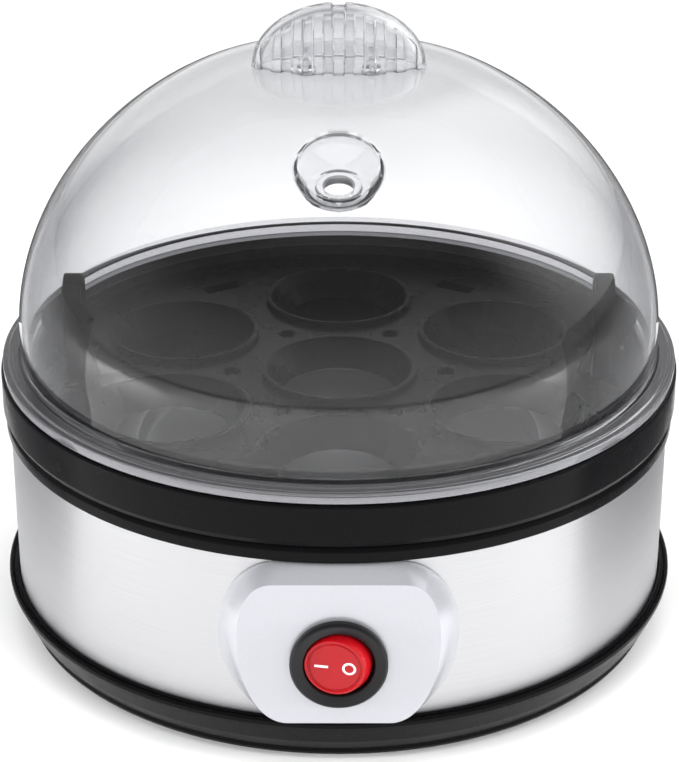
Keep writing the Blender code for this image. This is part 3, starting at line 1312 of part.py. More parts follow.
def panel_screws():
    """Make the two screws that hold the panel through the band, driven from inside."""
    head_edge = PANEL_BOSS_OFFSET + PANEL_SCREW_HEAD_RADIUS
    head_seat = -math.sqrt(flat_radius(band_inner) ** 2 - head_edge ** 2) + FIT_GAP
    boss_end = -math.sqrt(band_radius ** 2 - (PANEL_BOSS_OFFSET - PANEL_BOSS_RADIUS) ** 2) - FIT_GAP
    length = head_seat - boss_end + PANEL_SCREW_BITE
    for side, label in ((-1, "left"), (1, "right")):
        shape = screw_shape(PANEL_SCREW_RADIUS, PANEL_SCREW_HEAD_RADIUS, PANEL_SCREW_HEAD_HEIGHT, length)
        shape.transform(Matrix.Rotation(math.radians(90), 4, "X"))
        add_piece(f"panel_screw_{label}", shape, "pressed_steel", (side * PANEL_BOSS_OFFSET, head_seat, panel_level))


def switch_body():
    """Make the switch's bezel and barrel, with the well for the rocker and its pivot holes."""
    profile = [
        (0, barrel_back), (BARREL_RADIUS - EDGE, barrel_back), (BARREL_RADIUS, barrel_back - EDGE),
        (BARREL_RADIUS, bezel_back), (bezel_radius, bezel_back), (bezel_radius, bezel_front + BEZEL_CHAMFER),
        (bezel_radius - BEZEL_CHAMFER, bezel_front), (opening_radius + BEZEL_CHAMFER, bezel_front),
        (opening_radius, bezel_front + BEZEL_CHAMFER), (opening_radius, cavity_back),
        (0, cavity_back)]
    body = add_piece("switch_body", lathe(profile, SWITCH_SEGMENTS, (0, 0, switch_level), "Y"), "switch_black")
    lugs = bmesh.new()
    lug_reach = BARREL_RADIUS + LUG_REACH
    lug_front = -math.sqrt(flat_radius(band_inner) ** 2 - lug_reach ** 2) + FIT_GAP
    for side in (-1, 1):
        outline = [
            (side * (BARREL_RADIUS - LUG_REACH), lug_front, switch_level), (side * lug_reach, lug_front, switch_level),
            (side * (BARREL_RADIUS - EDGE), lug_front + LUG_LENGTH, switch_level),
            (side * (BARREL_RADIUS - LUG_REACH), lug_front + LUG_LENGTH, switch_level)]
        prism(lugs, outline, LUG_WIDTH)
    join(body, "switch_lugs", lugs)
    reach = BARREL_RADIUS + OVERRUN
    holes = rod(bmesh.new(), PIVOT_RADIUS + FIT_GAP, (0, pivot_y, switch_level - reach),
                (0, pivot_y, switch_level + reach), TINY_SEGMENTS)
    cut(body, "pivot_holes", holes)


def switch_rocker():
    """Make the rocker, its origin on its pivot and tilted to ON, with its left side pressed."""
    inner = rocker_face - ROCKER_WALL
    profile = [
        (0, -ROCKER_REACH), (rocker_face - ROCKER_EDGE, -ROCKER_REACH),
        (rocker_face, ROCKER_EDGE - ROCKER_REACH), (rocker_skirt, 0),
        (rocker_skirt, ROCKER_TAIL), (inner, ROCKER_TAIL), (inner, ROCKER_WALL - ROCKER_REACH),
        (0, ROCKER_WALL - ROCKER_REACH)]
    shape = lathe(profile, SWITCH_SEGMENTS, (0, 0, 0), "Y")
    rocker = add_piece("switch_rocker", shape, "red_lens", (0, pivot_y, switch_level), -ROCKER_TILT)
    pins = bmesh.new()
    for side in (-1, 1):
        rod(pins, PIVOT_RADIUS, (0, pivot_y, switch_level + side * (inner + ROCKER_WALL / 2)),
            (0, pivot_y, switch_level + side * (rocker_skirt + PIVOT_PROUD)), TINY_SEGMENTS)
    join(rocker, "rocker_pins", pins)


def indicator_lamp():
    """Make the lamp under the rocker, upright on its pivot line, on a stem from the well's floor."""
    half = LAMP_LENGTH / 2
    profile = [(0, -half), (LAMP_RADIUS - EDGE, -half), (LAMP_RADIUS, EDGE - half), (LAMP_RADIUS, half - EDGE),
               (LAMP_RADIUS - EDGE, half), (0, half)]
    lamp = add_piece("indicator_lamp", lathe(profile, TINY_SEGMENTS, (0, pivot_y, switch_level)), "lamp_glass")
    stem = block(bmesh.new(), (-LAMP_STEM / 2, pivot_y + LAMP_RADIUS / 2, switch_level - LAMP_STEM),
                 (LAMP_STEM / 2, cavity_back - SEAT_GAP, switch_level + LAMP_STEM))
    join(lamp, "lamp_stem", stem)


def switch_terminals():
    """Make the three blades on the back of the switch."""
    start = barrel_back + SEAT_GAP
    for k in range(TERMINALS):
        x = (k - (TERMINALS - 1) / 2) * TERMINAL_SPACING
        outline = [(x, start, switch_level - BLADE_WIDTH / 2),
                   (x, start + BLADE_LENGTH - EDGE, switch_level - BLADE_WIDTH / 2),
                   (x, start + BLADE_LENGTH, switch_level - BLADE_WIDTH / 2 + EDGE),
                   (x, start + BLADE_LENGTH, switch_level + BLADE_WIDTH / 2 - EDGE),
                   (x, start + BLADE_LENGTH - EDGE, switch_level + BLADE_WIDTH / 2),
                   (x, start, switch_level + BLADE_WIDTH / 2)]
        blade = add_piece(f"switch_terminal_{k + 1}", prism(bmesh.new(), outline, BLADE_THICKNESS), "brass")
        hole_y = start + BLADE_LENGTH * 2 / 3
        hole = rod(bmesh.new(), BLADE_HOLE_RADIUS, (x - BLADE_THICKNESS, hole_y, switch_level),
                   (x + BLADE_THICKNESS, hole_y, switch_level), TINY_SEGMENTS)
        cut(blade, f"terminal_hole_{k + 1}", hole)


def build():
    """Make every piece of the boiler."""
    clear_scene()
    lid_dome()
    lid_grip()
    egg_tray()
    upper_housing()
    steel_band()
    base_pan()
    heating_plate()
    plate_seal()
    heating_element()
    element_cover()
    nuts()
    thermostat()
    thermal_fuse()
    fuse_clip()
    switch_panel()
    panel_screws()
    switch_body()
    switch_rocker()
    indicator_lamp()
    switch_terminals()
    terminal_block()
    leads()
    housing_screws()
    feet()
    cord_gland()


build()
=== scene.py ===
# %% [markdown]
# # A domed egg boiler, dressed for the camera
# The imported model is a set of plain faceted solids, true in size and place. This file gives each piece that
# shows a finer surface and a finish of its own, sets the floor, the light and the camera, and keeps every
# piece on the body that it moves with: the base, the tray, the lid or the rocker.

# %% Load the frame
import math

import bmesh
import bpy
import numpy as np
from mathutils import Matrix, Vector
from mathutils.bvhtree import BVHTree


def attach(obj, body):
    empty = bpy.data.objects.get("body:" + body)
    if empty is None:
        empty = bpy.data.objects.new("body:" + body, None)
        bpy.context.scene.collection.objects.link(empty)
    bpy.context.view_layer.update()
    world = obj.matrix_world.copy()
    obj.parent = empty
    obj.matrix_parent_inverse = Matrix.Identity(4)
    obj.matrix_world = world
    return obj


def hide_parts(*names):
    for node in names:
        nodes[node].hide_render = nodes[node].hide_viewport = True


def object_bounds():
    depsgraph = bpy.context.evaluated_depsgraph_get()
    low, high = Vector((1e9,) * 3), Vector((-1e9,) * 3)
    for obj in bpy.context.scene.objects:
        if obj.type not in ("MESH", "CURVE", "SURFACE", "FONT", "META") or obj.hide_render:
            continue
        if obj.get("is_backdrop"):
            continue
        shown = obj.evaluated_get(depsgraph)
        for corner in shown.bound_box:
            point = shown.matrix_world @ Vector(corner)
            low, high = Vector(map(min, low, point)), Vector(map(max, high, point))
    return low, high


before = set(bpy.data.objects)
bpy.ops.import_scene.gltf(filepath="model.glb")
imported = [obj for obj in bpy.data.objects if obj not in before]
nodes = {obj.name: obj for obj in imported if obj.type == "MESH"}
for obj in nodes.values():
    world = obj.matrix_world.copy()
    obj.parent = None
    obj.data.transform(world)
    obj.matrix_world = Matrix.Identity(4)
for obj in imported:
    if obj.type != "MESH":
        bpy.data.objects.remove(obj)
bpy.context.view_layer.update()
MM = 0.001

# %% [markdown]
# ## The camera
# The photograph looks down at the boiler by 25 degrees from about 60 cm, close enough for the near rim to curve
# more than the far one. A 108 mm lens on a 36 mm sensor gives that view in a frame of 679 by 762 pixels.

# %% Camera
CAMERA_DISTANCE = 600 * MM
CAMERA_TILT = math.radians(25.05)
AIM_HEIGHT = 62.2 * MM
LENS_PIXELS = 2279
FRAME_HEIGHT = 762

camera_data = bpy.data.cameras.new("camera")
camera_data.sensor_width = 36
camera_data.lens = LENS_PIXELS / FRAME_HEIGHT * camera_data.sensor_width
camera_data.clip_start = 0.01
camera_data.shift_x = 0.7 / FRAME_HEIGHT
camera = bpy.data.objects.new("camera", camera_data)
camera.location = (0, -CAMERA_DISTANCE * math.cos(CAMERA_TILT), AIM_HEIGHT + CAMERA_DISTANCE * math.sin(CAMERA_TILT))
camera.rotation_euler = (math.radians(90) - CAMERA_TILT, 0, 0)
bpy.context.scene.collection.objects.link(camera)
bpy.context.scene.camera = camera
print("lens", round(camera_data.lens, 1), "mm")

# %% [markdown]
# ## Finishes
# A finish is a small node tree. Its colours are read off the object as sRGB hex values, and one function turns
# them into the linear values that the shader works in. A second one adds a node with its settings and links.


# %% Colour and node helpers
def linear(hex_colour):
    """Turn an sRGB hex colour such as "#1A1A1C" into linear RGBA."""
    parts = [int(hex_colour[k:k + 2], 16) / 255 for k in (1, 3, 5)]
    return (*[p / 12.92 if p <= 0.04045 else ((p + 0.055) / 1.055) ** 2.4 for p in parts], 1.0)


def add_node(tree, kind, links=None, **settings):
    """Add a node. A setting that names an input sets its value, any other sets a property."""
    node = tree.nodes.new(kind)
    for key, value in settings.items():
        if key.startswith("in_"):
            name = key[3:].replace("_", " ")
            spot = int(name) if name.isdigit() else next(k for k, s in enumerate(node.inputs) if s.name == name)
            node.inputs[spot].default_value = value
        else:
            setattr(node, key, value)
    for name, source in (links or {}).items():
        spot = name if isinstance(name, int) else next(k for k, s in enumerate(node.inputs) if s.name == name)
        tree.links.new(source, node.inputs[spot])
    return node


def start_finish(name, hex_colour, roughness, metallic=0.0, ior=None):
    """Start a finish with its shader, and return the material, its tree, the shader and Object coordinates."""
    finish = bpy.data.materials.new(name)
    finish.use_nodes = True
    tree = finish.node_tree
    shader = tree.nodes["Principled BSDF"]
    shader.inputs["Base Color"].default_value = linear(hex_colour)
    shader.inputs["Roughness"].default_value = roughness
    shader.inputs["Metallic"].default_value = metallic
    if ior is not None:
        shader.inputs["IOR"].default_value = ior
    place = add_node(tree, "ShaderNodeTexCoord").outputs["Object"]
    return finish, tree, shader, place


def roughness_cloud(tree, shader, place, grain_mm, low, high, detail=3.0):
    """Vary the roughness between two values in soft clouds of a real size, as handling and moulding leave them."""
    noise = add_node(tree, "ShaderNodeTexNoise", {"Vector": place}, in_Scale=1 / (grain_mm * MM), in_Detail=detail)
    spread = add_node(tree, "ShaderNodeMapRange", {"Value": noise.outputs["Fac"]}, in_1=0.35, in_2=0.65, in_3=low,
                      in_4=high)
    tree.links.new(spread.outputs["Result"], shader.inputs["Roughness"])


def surface_grain(tree, shader, place, grain_mm, height_mm, strength=0.5, detail=2.0):
    """Add a fine bump of a real grain size and height."""
    noise = add_node(tree, "ShaderNodeTexNoise", {"Vector": place}, in_Scale=1 / (grain_mm * MM), in_Detail=detail)
    bump = add_node(tree, "ShaderNodeBump", {"Height": noise.outputs["Fac"]}, in_Strength=strength,
                    in_Distance=height_mm * MM)
    tree.links.new(bump.outputs["Normal"], shader.inputs["Normal"])
    return bump


# %% [markdown]
# ### Black polypropylene, injection moulded
# The base, the housing and the tray are one resin from polished moulds. It reads as a very dark neutral grey with
# a satin gloss: soft edges to its reflections, and slightly duller clouds where the melt cooled unevenly.

# %% Black moulding
black_moulding, tree, shader, place = start_finish("satin black polypropylene", "#09090A", 0.26, ior=1.49)
shader.inputs["Specular IOR Level"].default_value = 0.08
roughness_cloud(tree, shader, place, 9.0, 0.22, 0.30)
surface_grain(tree, shader, place, 0.6, 0.006, 0.12)

# %% [markdown]
# ### Clear styrene-acrylonitrile, polished moulding
# The lid and its grip are clear SAN, a rigid resin with an index near 1.57. A real wall thickness bends light at both
# faces, so the rim, the vent and the flutes show as lines. The lid wall's faint grey is painted shade: its colour
# darkens towards its edges and lower down.

# %% Clear lid, its rim and the grip
def clear_resin(name, hex_colour, roughness, clear_share):
    """Start a clear finish. What isn't clear is faintly milky, as a satin tool leaves the resin."""
    finish, tree, shader, place = start_finish(name, hex_colour, roughness, ior=1.46)
    shader.inputs["Transmission Weight"].default_value = clear_share
    return finish, tree, shader, place


def edge_shade_ramp(tree, slant, stops):
    """Painted shade of a clear wall: tones that darken from seen square on to seen along its length."""
    tones = add_node(tree, "ShaderNodeValToRGB", {"Fac": slant.outputs["Facing"]})
    for k, (spot, hex_colour) in enumerate(stops):
        element = tones.color_ramp.elements[k] if k == 0 else tones.color_ramp.elements.new(spot)
        element.color = linear(hex_colour)
    tones.color_ramp.elements.remove(tones.color_ramp.elements[-1])
    return tones.outputs["Color"]


clear_lid, tree, shader, place = clear_resin("clear polished SAN", "#F0F1F3", 0.012, 1.0)
# Painted shade: the lid's colour darkens where the wall is seen edge on, and more so below 104 mm, fading out by 134 mm
# up.
slant = add_node(tree, "ShaderNodeLayerWeight", in_Blend=0.5)
low_edge_shade = edge_shade_ramp(tree, slant, ((0.0, "#FDFDFE"), (0.5, "#DADBDD"), (0.72, "#B4B5B8"), (0.99, "#646569")))
high_edge_shade = edge_shade_ramp(tree, slant, ((0.0, "#FDFDFE"), (0.55, "#F7F8F9"), (0.99, "#B4B5B9")))
split = add_node(tree, "ShaderNodeSeparateXYZ", {"Vector": place})
low_shade_mask = add_node(tree, "ShaderNodeMapRange", {"Value": split.outputs["Z"]}, interpolation_type="SMOOTHSTEP",
                    in_1=104 * MM, in_2=134 * MM)
painted_wall_shade = add_node(tree, "ShaderNodeMix", {0: low_shade_mask.outputs["Result"], 6: low_edge_shade, 7: high_edge_shade},
                     data_type="RGBA")
tree.links.new(painted_wall_shade.outputs[2], shader.inputs["Base Color"])
surface_grain(tree, shader, place, 60.0, 0.10, 0.20, detail=1.0)

satin_rim, tree, shader, place = clear_resin("satin SAN of the rim", "#C4C4C8", 0.04, 0.92)
roughness_cloud(tree, shader, place, 6.0, 0.03, 0.06)

cup_resin, tree, shader, place = clear_resin("satin SAN of the vent cup", "#F2F3F5", 0.02, 0.86)
roughness_cloud(tree, shader, place, 3.0, 0.015, 0.035)

# Painted shadow: a mid-grey finish for the line where the grip's foot meets the dome, standing in for the shade there.
foot_shadow_line, tree, shader, place = start_finish("frosted weld line", "#77777B", 0.5)
surface_grain(tree, shader, place, 0.4, 0.03, 0.4)

fluted_resin, tree, shader, place = clear_resin("fluted SAN of the grip", "#F4F5F7", 0.02, 0.88)
roughness_cloud(tree, shader, place, 3.0, 0.015, 0.035)

# %% [markdown]
# ### Stainless steel, brushed round
# The band was brushed along its length before it was rolled, so its scratches run round the boiler. They spread a
# reflection upwards and downwards but hardly sideways, which is what an anisotropic metal does. The scratches
# are drawn about 0.15 mm apart, a little coarser than real ones, so that they show.

# %% Brushed steel
SCRATCH_MM = 0.15
brushed_steel, tree, shader, place = start_finish("brushed stainless steel", "#D9D9DB", 0.42, metallic=1.0)
split = add_node(tree, "ShaderNodeSeparateXYZ", {"Vector": place})
turn = add_node(tree, "ShaderNodeMath", {0: split.outputs["Y"], 1: split.outputs["X"]}, operation="ARCTAN2")
strip = add_node(tree, "ShaderNodeCombineXYZ", {"X": turn.outputs[0], "Z": split.outputs["Z"]})
stretch = add_node(tree, "ShaderNodeMapping", {"Vector": strip.outputs[0]}, in_Scale=(3.0, 1.0, 1 / (SCRATCH_MM * MM)))
scratches = add_node(tree, "ShaderNodeTexNoise", {"Vector": stretch.outputs[0]}, in_Scale=1.0, in_Detail=4.0)
dull = add_node(tree, "ShaderNodeMapRange", {"Value": scratches.outputs["Fac"]}, in_1=0.3, in_2=0.7, in_3=0.38,
                in_4=0.48)
tree.links.new(dull.outputs["Result"], shader.inputs["Roughness"])
tone = add_node(tree, "ShaderNodeMapRange", {"Value": scratches.outputs["Fac"]}, in_1=0.3, in_2=0.7, in_3=0.0,
                in_4=1.0)
steel_tones = add_node(tree, "ShaderNodeValToRGB", {"Fac": tone.outputs["Result"]})
steel_tones.color_ramp.elements[0].color = linear("#D3D3D5")
steel_tones.color_ramp.elements[1].color = linear("#DEDEE0")
tree.links.new(steel_tones.outputs["Color"], shader.inputs["Base Color"])
scratch_bump = add_node(tree, "ShaderNodeBump", {"Height": scratches.outputs["Fac"]}, in_Strength=0.12,
                        in_Distance=0.01 * MM)
tree.links.new(scratch_bump.outputs["Normal"], shader.inputs["Normal"])
shader.inputs["Anisotropic"].default_value = 0.85
shader.inputs["Anisotropic Rotation"].default_value = 0.25
round_way = add_node(tree, "ShaderNodeTangent", direction_type="RADIAL", axis="Z")
tree.links.new(round_way.outputs["Tangent"], shader.inputs["Tangent"])

# %% [markdown]
# ### The other finishes
# The panel is ABS with a silver lacquer: fine aluminium flake under a satin clear coat. The bezel is matt black
# nylon, the rocker is red polycarbonate that glows a little where it is thin, and the feet are black rubber.
# The dish is stainless steel too, spun on a lathe, and the inner clips and nuts are zinc plated.

# %% Panel, switch, rubber and inner metals
silver_lacquer, tree, shader, place = start_finish("silver lacquered ABS", "#B0B1B6", 0.30, metallic=0.55)
flake = add_node(tree, "ShaderNodeTexVoronoi", {"Vector": place}, in_Scale=1 / (0.12 * MM))
flake_tones = add_node(tree, "ShaderNodeValToRGB", {"Fac": flake.outputs["Color"]})
flake_tones.color_ramp.elements[0].color = linear("#ABACB1")
flake_tones.color_ramp.elements[1].color = linear("#B5B6BB")
tree.links.new(flake_tones.outputs["Color"], shader.inputs["Base Color"])
shader.inputs["Coat Weight"].default_value = 0.4
shader.inputs["Coat Roughness"].default_value = 0.12

switch_black, tree, shader, place = start_finish("matt black nylon", "#111113", 0.36, ior=1.53)
shader.inputs["Specular IOR Level"].default_value = 0.25
surface_grain(tree, shader, place, 0.35, 0.02, 0.35)

red_lens, tree, shader, place = start_finish("red translucent polycarbonate", "#960912", 0.16, ior=1.58)
shader.inputs["Specular IOR Level"].default_value = 0.25
roughness_cloud(tree, shader, place, 4.0, 0.12, 0.20)
shader.inputs["Subsurface Weight"].default_value = 0.2
shader.inputs["Subsurface Radius"].default_value = (0.004, 0.0006, 0.0005)
shader.inputs["Subsurface Scale"].default_value = 0.6

mark_white, tree, shader, place = start_finish("white pad print", "#F4F2F2", 0.45)
roughness_cloud(tree, shader, place, 1.5, 0.40, 0.50)

foot_rubber, tree, shader, place = start_finish("black moulded rubber", "#1E1E1F", 0.75, ior=1.52)
surface_grain(tree, shader, place, 0.4, 0.03, 0.4)

spun_steel, tree, shader, place = start_finish("spun stainless steel", "#B9B9BA", 0.28, metallic=1.0)
split = add_node(tree, "ShaderNodeSeparateXYZ", {"Vector": place})
flat_place = add_node(tree, "ShaderNodeCombineXYZ", {"X": split.outputs["X"], "Y": split.outputs["Y"]})
reach = add_node(tree, "ShaderNodeVectorMath", {0: flat_place.outputs[0]}, operation="LENGTH")
rings = add_node(tree, "ShaderNodeTexNoise", {"W": reach.outputs["Value"]}, noise_dimensions="1D",
                 in_Scale=1 / (0.3 * MM),
                 in_Detail=3.0)
ring_bump = add_node(tree, "ShaderNodeBump", {"Height": rings.outputs["Fac"]}, in_Strength=0.25, in_Distance=0.02 * MM)
tree.links.new(ring_bump.outputs["Normal"], shader.inputs["Normal"])

zinc_plate, tree, shader, place = start_finish("bright zinc plate", "#A9A9AB", 0.32, metallic=1.0)
roughness_cloud(tree, shader, place, 2.0, 0.26, 0.42)

ceramic_body, tree, shader, place = start_finish("white steatite ceramic", "#D8D4CA", 0.55)
surface_grain(tree, shader, place, 0.6, 0.03, 0.4)

brass_blade, tree, shader, place = start_finish("bright brass", "#C9A24C", 0.28, metallic=1.0)
roughness_cloud(tree, shader, place, 1.5, 0.22, 0.36)

red_silicone, tree, shader, place = start_finish("red silicone rubber", "#B4523F", 0.62)
surface_grain(tree, shader, place, 0.5, 0.03, 0.3)

block_nylon, tree, shader, place = start_finish("natural white nylon", "#E4E2DB", 0.5, ior=1.53)
surface_grain(tree, shader, place, 0.5, 0.02, 0.3)

lead_sleeve, tree, shader, place = start_finish("white silicone sleeve", "#E2DED4", 0.55)
surface_grain(tree, shader, place, 0.4, 0.02, 0.3)

lamp_glass, tree, shader, place = start_finish("clear lamp glass", "#FFD9B8", 0.05, ior=1.5)
shader.inputs["Transmission Weight"].default_value = 0.9
roughness_cloud(tree, shader, place, 1.0, 0.03, 0.08)
print("finishes:", len(bpy.data.materials))

# %% [markdown]
# ## Turned forms
# Most of the boiler was made round: moulded, spun or rolled. Each such piece is a profile, given as corners with
# a fillet radius, and turned about the Z axis. The fillets catch the light as thin lines, which is what tells the
# eye that an edge is moulded and not cut from card.


# %% Profile and lathe helpers
def soften(corners, closed=True, steps=6):
    """Round each corner (r, z, fillet) of a profile in millimetres, and return points in metres."""
    out = []
    count = len(corners)
    for k, (x, z, fillet) in enumerate(corners):
        here = Vector((x, z))
        if fillet <= 0 or (not closed and k in (0, count - 1)):
            out.append(here)
            continue
        before = Vector(corners[k - 1][:2]) - here
        after = Vector(corners[(k + 1) % count][:2]) - here
        angle = before.angle(after)
        cut = min(fillet / math.tan(angle / 2), 0.49 * before.length, 0.49 * after.length)
        start, end = here + before.normalized() * cut, here + after.normalized() * cut
        for i in range(steps + 1):
            t = i / steps
            out.append(start * (1 - t) ** 2 + here * 2 * t * (1 - t) + end * t ** 2)
    return [(p.x * MM, p.y * MM) for p in out]


def turned_mesh(name, profile, steps=192, closed=True):
    """Turn (r, z) points about Z into a mesh whose faces point outwards."""
    shape = bmesh.new()
    rings = []
    for r, z in profile:
        if r < 1e-7:
            rings.append([shape.verts.new((0, 0, z))])
        else:
            rings.append([shape.verts.new((r * math.cos(a), r * math.sin(a), z))
                          for a in (math.tau * k / steps for k in range(steps))])
    pairs = list(zip(rings, rings[1:])) + ([(rings[-1], rings[0])] if closed else [])
    for a, b in pairs:
        if len(a) == len(b) == 1:
            continue
        for k in range(steps):
            corners = [a[k % len(a)], a[(k + 1) % len(a)], b[(k + 1) % len(b)], b[k % len(b)]]
            corners = list(dict.fromkeys(corners))
            if len(corners) > 2:
                shape.faces.new(corners)
    bmesh.ops.recalc_face_normals(shape, faces=shape.faces[:])
    mesh = bpy.data.meshes.new(name)
    shape.to_mesh(mesh)
    shape.free()
    mesh.shade_smooth()
    return mesh


def show(name, mesh, finish):
    """Link a mesh as an object at the origin, with one finish."""
    piece = bpy.data.objects.new(name, mesh)
    bpy.context.scene.collection.objects.link(piece)
    mesh.materials.clear()
    mesh.materials.append(finish)
    return piece


def baked(piece, sharp_degrees=None):
    """Turn the piece's modifiers into plain mesh, and keep edges sharper than an angle crisp."""
    bpy.context.view_layer.update()
    result = bpy.data.meshes.new_from_object(piece.evaluated_get(bpy.context.evaluated_depsgraph_get()))
    piece.modifiers.clear()
    old, piece.data = piece.data, result
    result.name = piece.name
    if old.users == 0:
        bpy.data.meshes.remove(old)
    if sharp_degrees is not None:
        result.shade_smooth()
        result.set_sharp_from_angle(angle=math.radians(sharp_degrees))
    return piece


def carve(piece, cutter_mesh, operation="DIFFERENCE"):
    """Cut a mesh out of a piece, or join it on, with an exact Boolean, and bake the result."""
    cutter = bpy.data.objects.new("cutter", cutter_mesh)
    bpy.context.scene.collection.objects.link(cutter)
    step = piece.modifiers.new("carve", "BOOLEAN")
    step.operation = operation
    step.solver = "EXACT"
    step.object = cutter
    baked(piece)
    bpy.data.objects.remove(cutter)
    return piece


def rods(name, places, steps=48):
    """A mesh of closed cylinders, each (start, end, start radius, end radius) in millimetres."""
    shape = bmesh.new()
    for start, end, r1, r2 in places:
        start, end = Vector(start) * MM, Vector(end) * MM
        run = end - start
        spin = run.to_track_quat("Z", "Y").to_matrix().to_4x4()
        bmesh.ops.create_cone(shape, cap_ends=True, segments=steps, radius1=r1 * MM, radius2=r2 * MM,
                              depth=run.length, matrix=Matrix.Translation((start + end) / 2) @ spin)
    mesh = bpy.data.meshes.new(name)
    shape.to_mesh(mesh)
    shape.free()
    return mesh


def smooth(value, low, high):
    """Rise from 0 at low to 1 at high, with soft ends."""
    t = min(max((value - low) / (high - low), 0.0), 1.0)
    return t * t * (3 - 2 * t)


def polar(radius, degrees, level=0.0):
    """A point in millimetres at a radius and an angle from +X."""
    a = math.radians(degrees)
    return Vector((radius * math.cos(a), radius * math.sin(a), level))


# %% [markdown]
# ## Copies that follow a rule
# Seats, feet and screws repeat. A small Geometry Nodes tree puts copies of one piece on a ring, makes them real
# and sets their finish. Its sizes are named inputs, so that one tree serves every ring here. The result is
# turned into a plain mesh, because a modifier's copies don't leave Blender with the model.


# %% Ring of copies
def ring_tree():
    """Build the tree: copies of an object on a ring, with one more in the middle if asked."""
    tree = bpy.data.node_groups.new("copies on a ring", "GeometryNodeTree")
    tree.interface.new_socket("Geometry", in_out="OUTPUT", socket_type="NodeSocketGeometry")
    for name, kind, value in (("Piece", "NodeSocketObject", None), ("Count", "NodeSocketInt", 4),
                              ("Radius", "NodeSocketFloat", 0.05), ("Start Angle", "NodeSocketFloat", 0.0),
                              ("Middle Copy", "NodeSocketBool", False), ("Finish", "NodeSocketMaterial", None)):
        socket = tree.interface.new_socket(name, in_out="INPUT", socket_type=kind)
        if value is not None:
            socket.default_value = value
    given = add_node(tree, "NodeGroupInput")
    circle = add_node(tree, "GeometryNodeMeshCircle",
                      {"Vertices": given.outputs["Count"], "Radius": given.outputs["Radius"]})
    spin = add_node(tree, "ShaderNodeCombineXYZ", {"Z": given.outputs["Start Angle"]})
    turned = add_node(tree, "GeometryNodeTransform", {"Geometry": circle.outputs["Mesh"], "Rotation": spin.outputs[0]})
    middle = add_node(tree, "GeometryNodeMeshLine", in_Count=1)
    chosen = add_node(tree, "GeometryNodeSwitch", {"Switch": given.outputs["Middle Copy"],
                                                   "True": middle.outputs["Mesh"]},
                      input_type="GEOMETRY")
    spots = add_node(tree, "GeometryNodeJoinGeometry", {"Geometry": turned.outputs["Geometry"]})
    tree.links.new(chosen.outputs["Output"], spots.inputs["Geometry"])
    piece = add_node(tree, "GeometryNodeObjectInfo", {"Object": given.outputs["Piece"]}, in_As_Instance=True)
    copies = add_node(tree, "GeometryNodeInstanceOnPoints", {"Points": spots.outputs["Geometry"],
                                                             "Instance": piece.outputs["Geometry"]})
    real = add_node(tree, "GeometryNodeRealizeInstances", {"Geometry": copies.outputs["Instances"]})
    finished = add_node(tree, "GeometryNodeSetMaterial", {"Geometry": real.outputs["Geometry"],
                                                          "Material": given.outputs["Finish"]})
    result = add_node(tree, "NodeGroupOutput")
    tree.links.new(finished.outputs["Geometry"], result.inputs["Geometry"])
    return tree


RING_TREE = ring_tree()


def ring_of(name, mesh, finish, count, radius_mm, start_degrees=0.0, middle=False):
    """Make copies of a mesh on a ring, as one plain mesh object."""
    pattern = show(name + "_pattern", mesh, finish)
    piece = show(name, bpy.data.meshes.new(name), finish)
    step = piece.modifiers.new("ring", "NODES")
    step.node_group = RING_TREE
    values = {"Piece": pattern, "Count": count, "Radius": radius_mm * MM,
              "Start Angle": math.radians(start_degrees), "Middle Copy": middle, "Finish": finish}
    for socket in RING_TREE.interface.items_tree:
        if socket.in_out == "INPUT":
            step[socket.identifier] = values[socket.name]
    baked(piece)
    bpy.data.objects.remove(pattern)
    print(name, "copies:", count + int(middle), "faces:", len(piece.data.polygons))
    return piece


def join_pieces(name, *pieces):
    """Merge several objects into the first one, under a new name."""
    shape = bmesh.new()
    for piece in pieces:
        shape.from_mesh(piece.data)
    first = pieces[0]
    shape.to_mesh(first.data)
    shape.free()
    for piece in pieces[1:]:
        bpy.data.objects.remove(piece)
    first.name = name
    first.data.name = name
    return first


# %% [markdown]
# ## The lid
# The dome is a superellipse: rounder at the shoulder than a ball, and nearly flat where the grip sits. It stands on
# a stepped flange with a bead round its rim, and a short spigot below keeps it on the tray. The vent is a round
# cup sunk into the front of the dome, with a hole and a small ring in its floor.

# %% Dome profile
DOME_RADIUS, DOME_SPRING, DOME_RISE = 82.3, 82.0, 71.6
SIDE_POWER, CROWN_POWER = 2.04, 1.88
CROWN_LEVEL, CROWN_BLEND = 148.2, 1.4
LID_WALL = 1.8


def dome_profile(inset, steps=72):
    """The dome's curve from its spring line to the crown, moved in by a wall."""
    radius, rise, crown = DOME_RADIUS - inset, DOME_RISE - inset, CROWN_LEVEL - inset
    points = []
    for k in range(steps + 1):
        t = math.pi / 2 * k / steps
        r = radius * math.cos(t) ** (2 / SIDE_POWER) if k < steps else 0.0
        z = DOME_SPRING + rise * math.sin(t) ** (2 / CROWN_POWER)
        gap = (crown - z) / CROWN_BLEND
        z = crown - CROWN_BLEND * math.log1p(math.exp(gap)) if gap < 20 else z
        points.append((r * MM, z * MM))
    return points


outer_dome = dome_profile(0.0)
inner_dome = dome_profile(LID_WALL)
flange = soften([(80.5, 78.0, 0), (80.5, 69.0, 0.4), (82.0, 69.0, 0.4), (82.0, 71.8, 0.2), (87.0, 71.8, 0.4),
                 (87.0, 74.3, 0.7), (85.7, 74.3, 0.4), (85.3, 74.9, 0.3), (83.0, 74.9, 0.4), (82.3, 75.8, 0.8),
                 (82.3, 79.0, 0)], closed=False)

# %% Place of the vent cup
VENT_PLACE = Vector((0, -48.6, 139.3))
VENT_TILT = math.radians(17)
VENT_DEPTH, CUP_WALL = 6.2, 1.5
VENT_AXIS = Vector((0, -math.sin(VENT_TILT), math.cos(VENT_TILT)))
vent_place = (Matrix.Translation((VENT_PLACE - VENT_AXIS * VENT_DEPTH) * MM)
              @ VENT_AXIS.to_track_quat("Z", "Y").to_matrix().to_4x4())

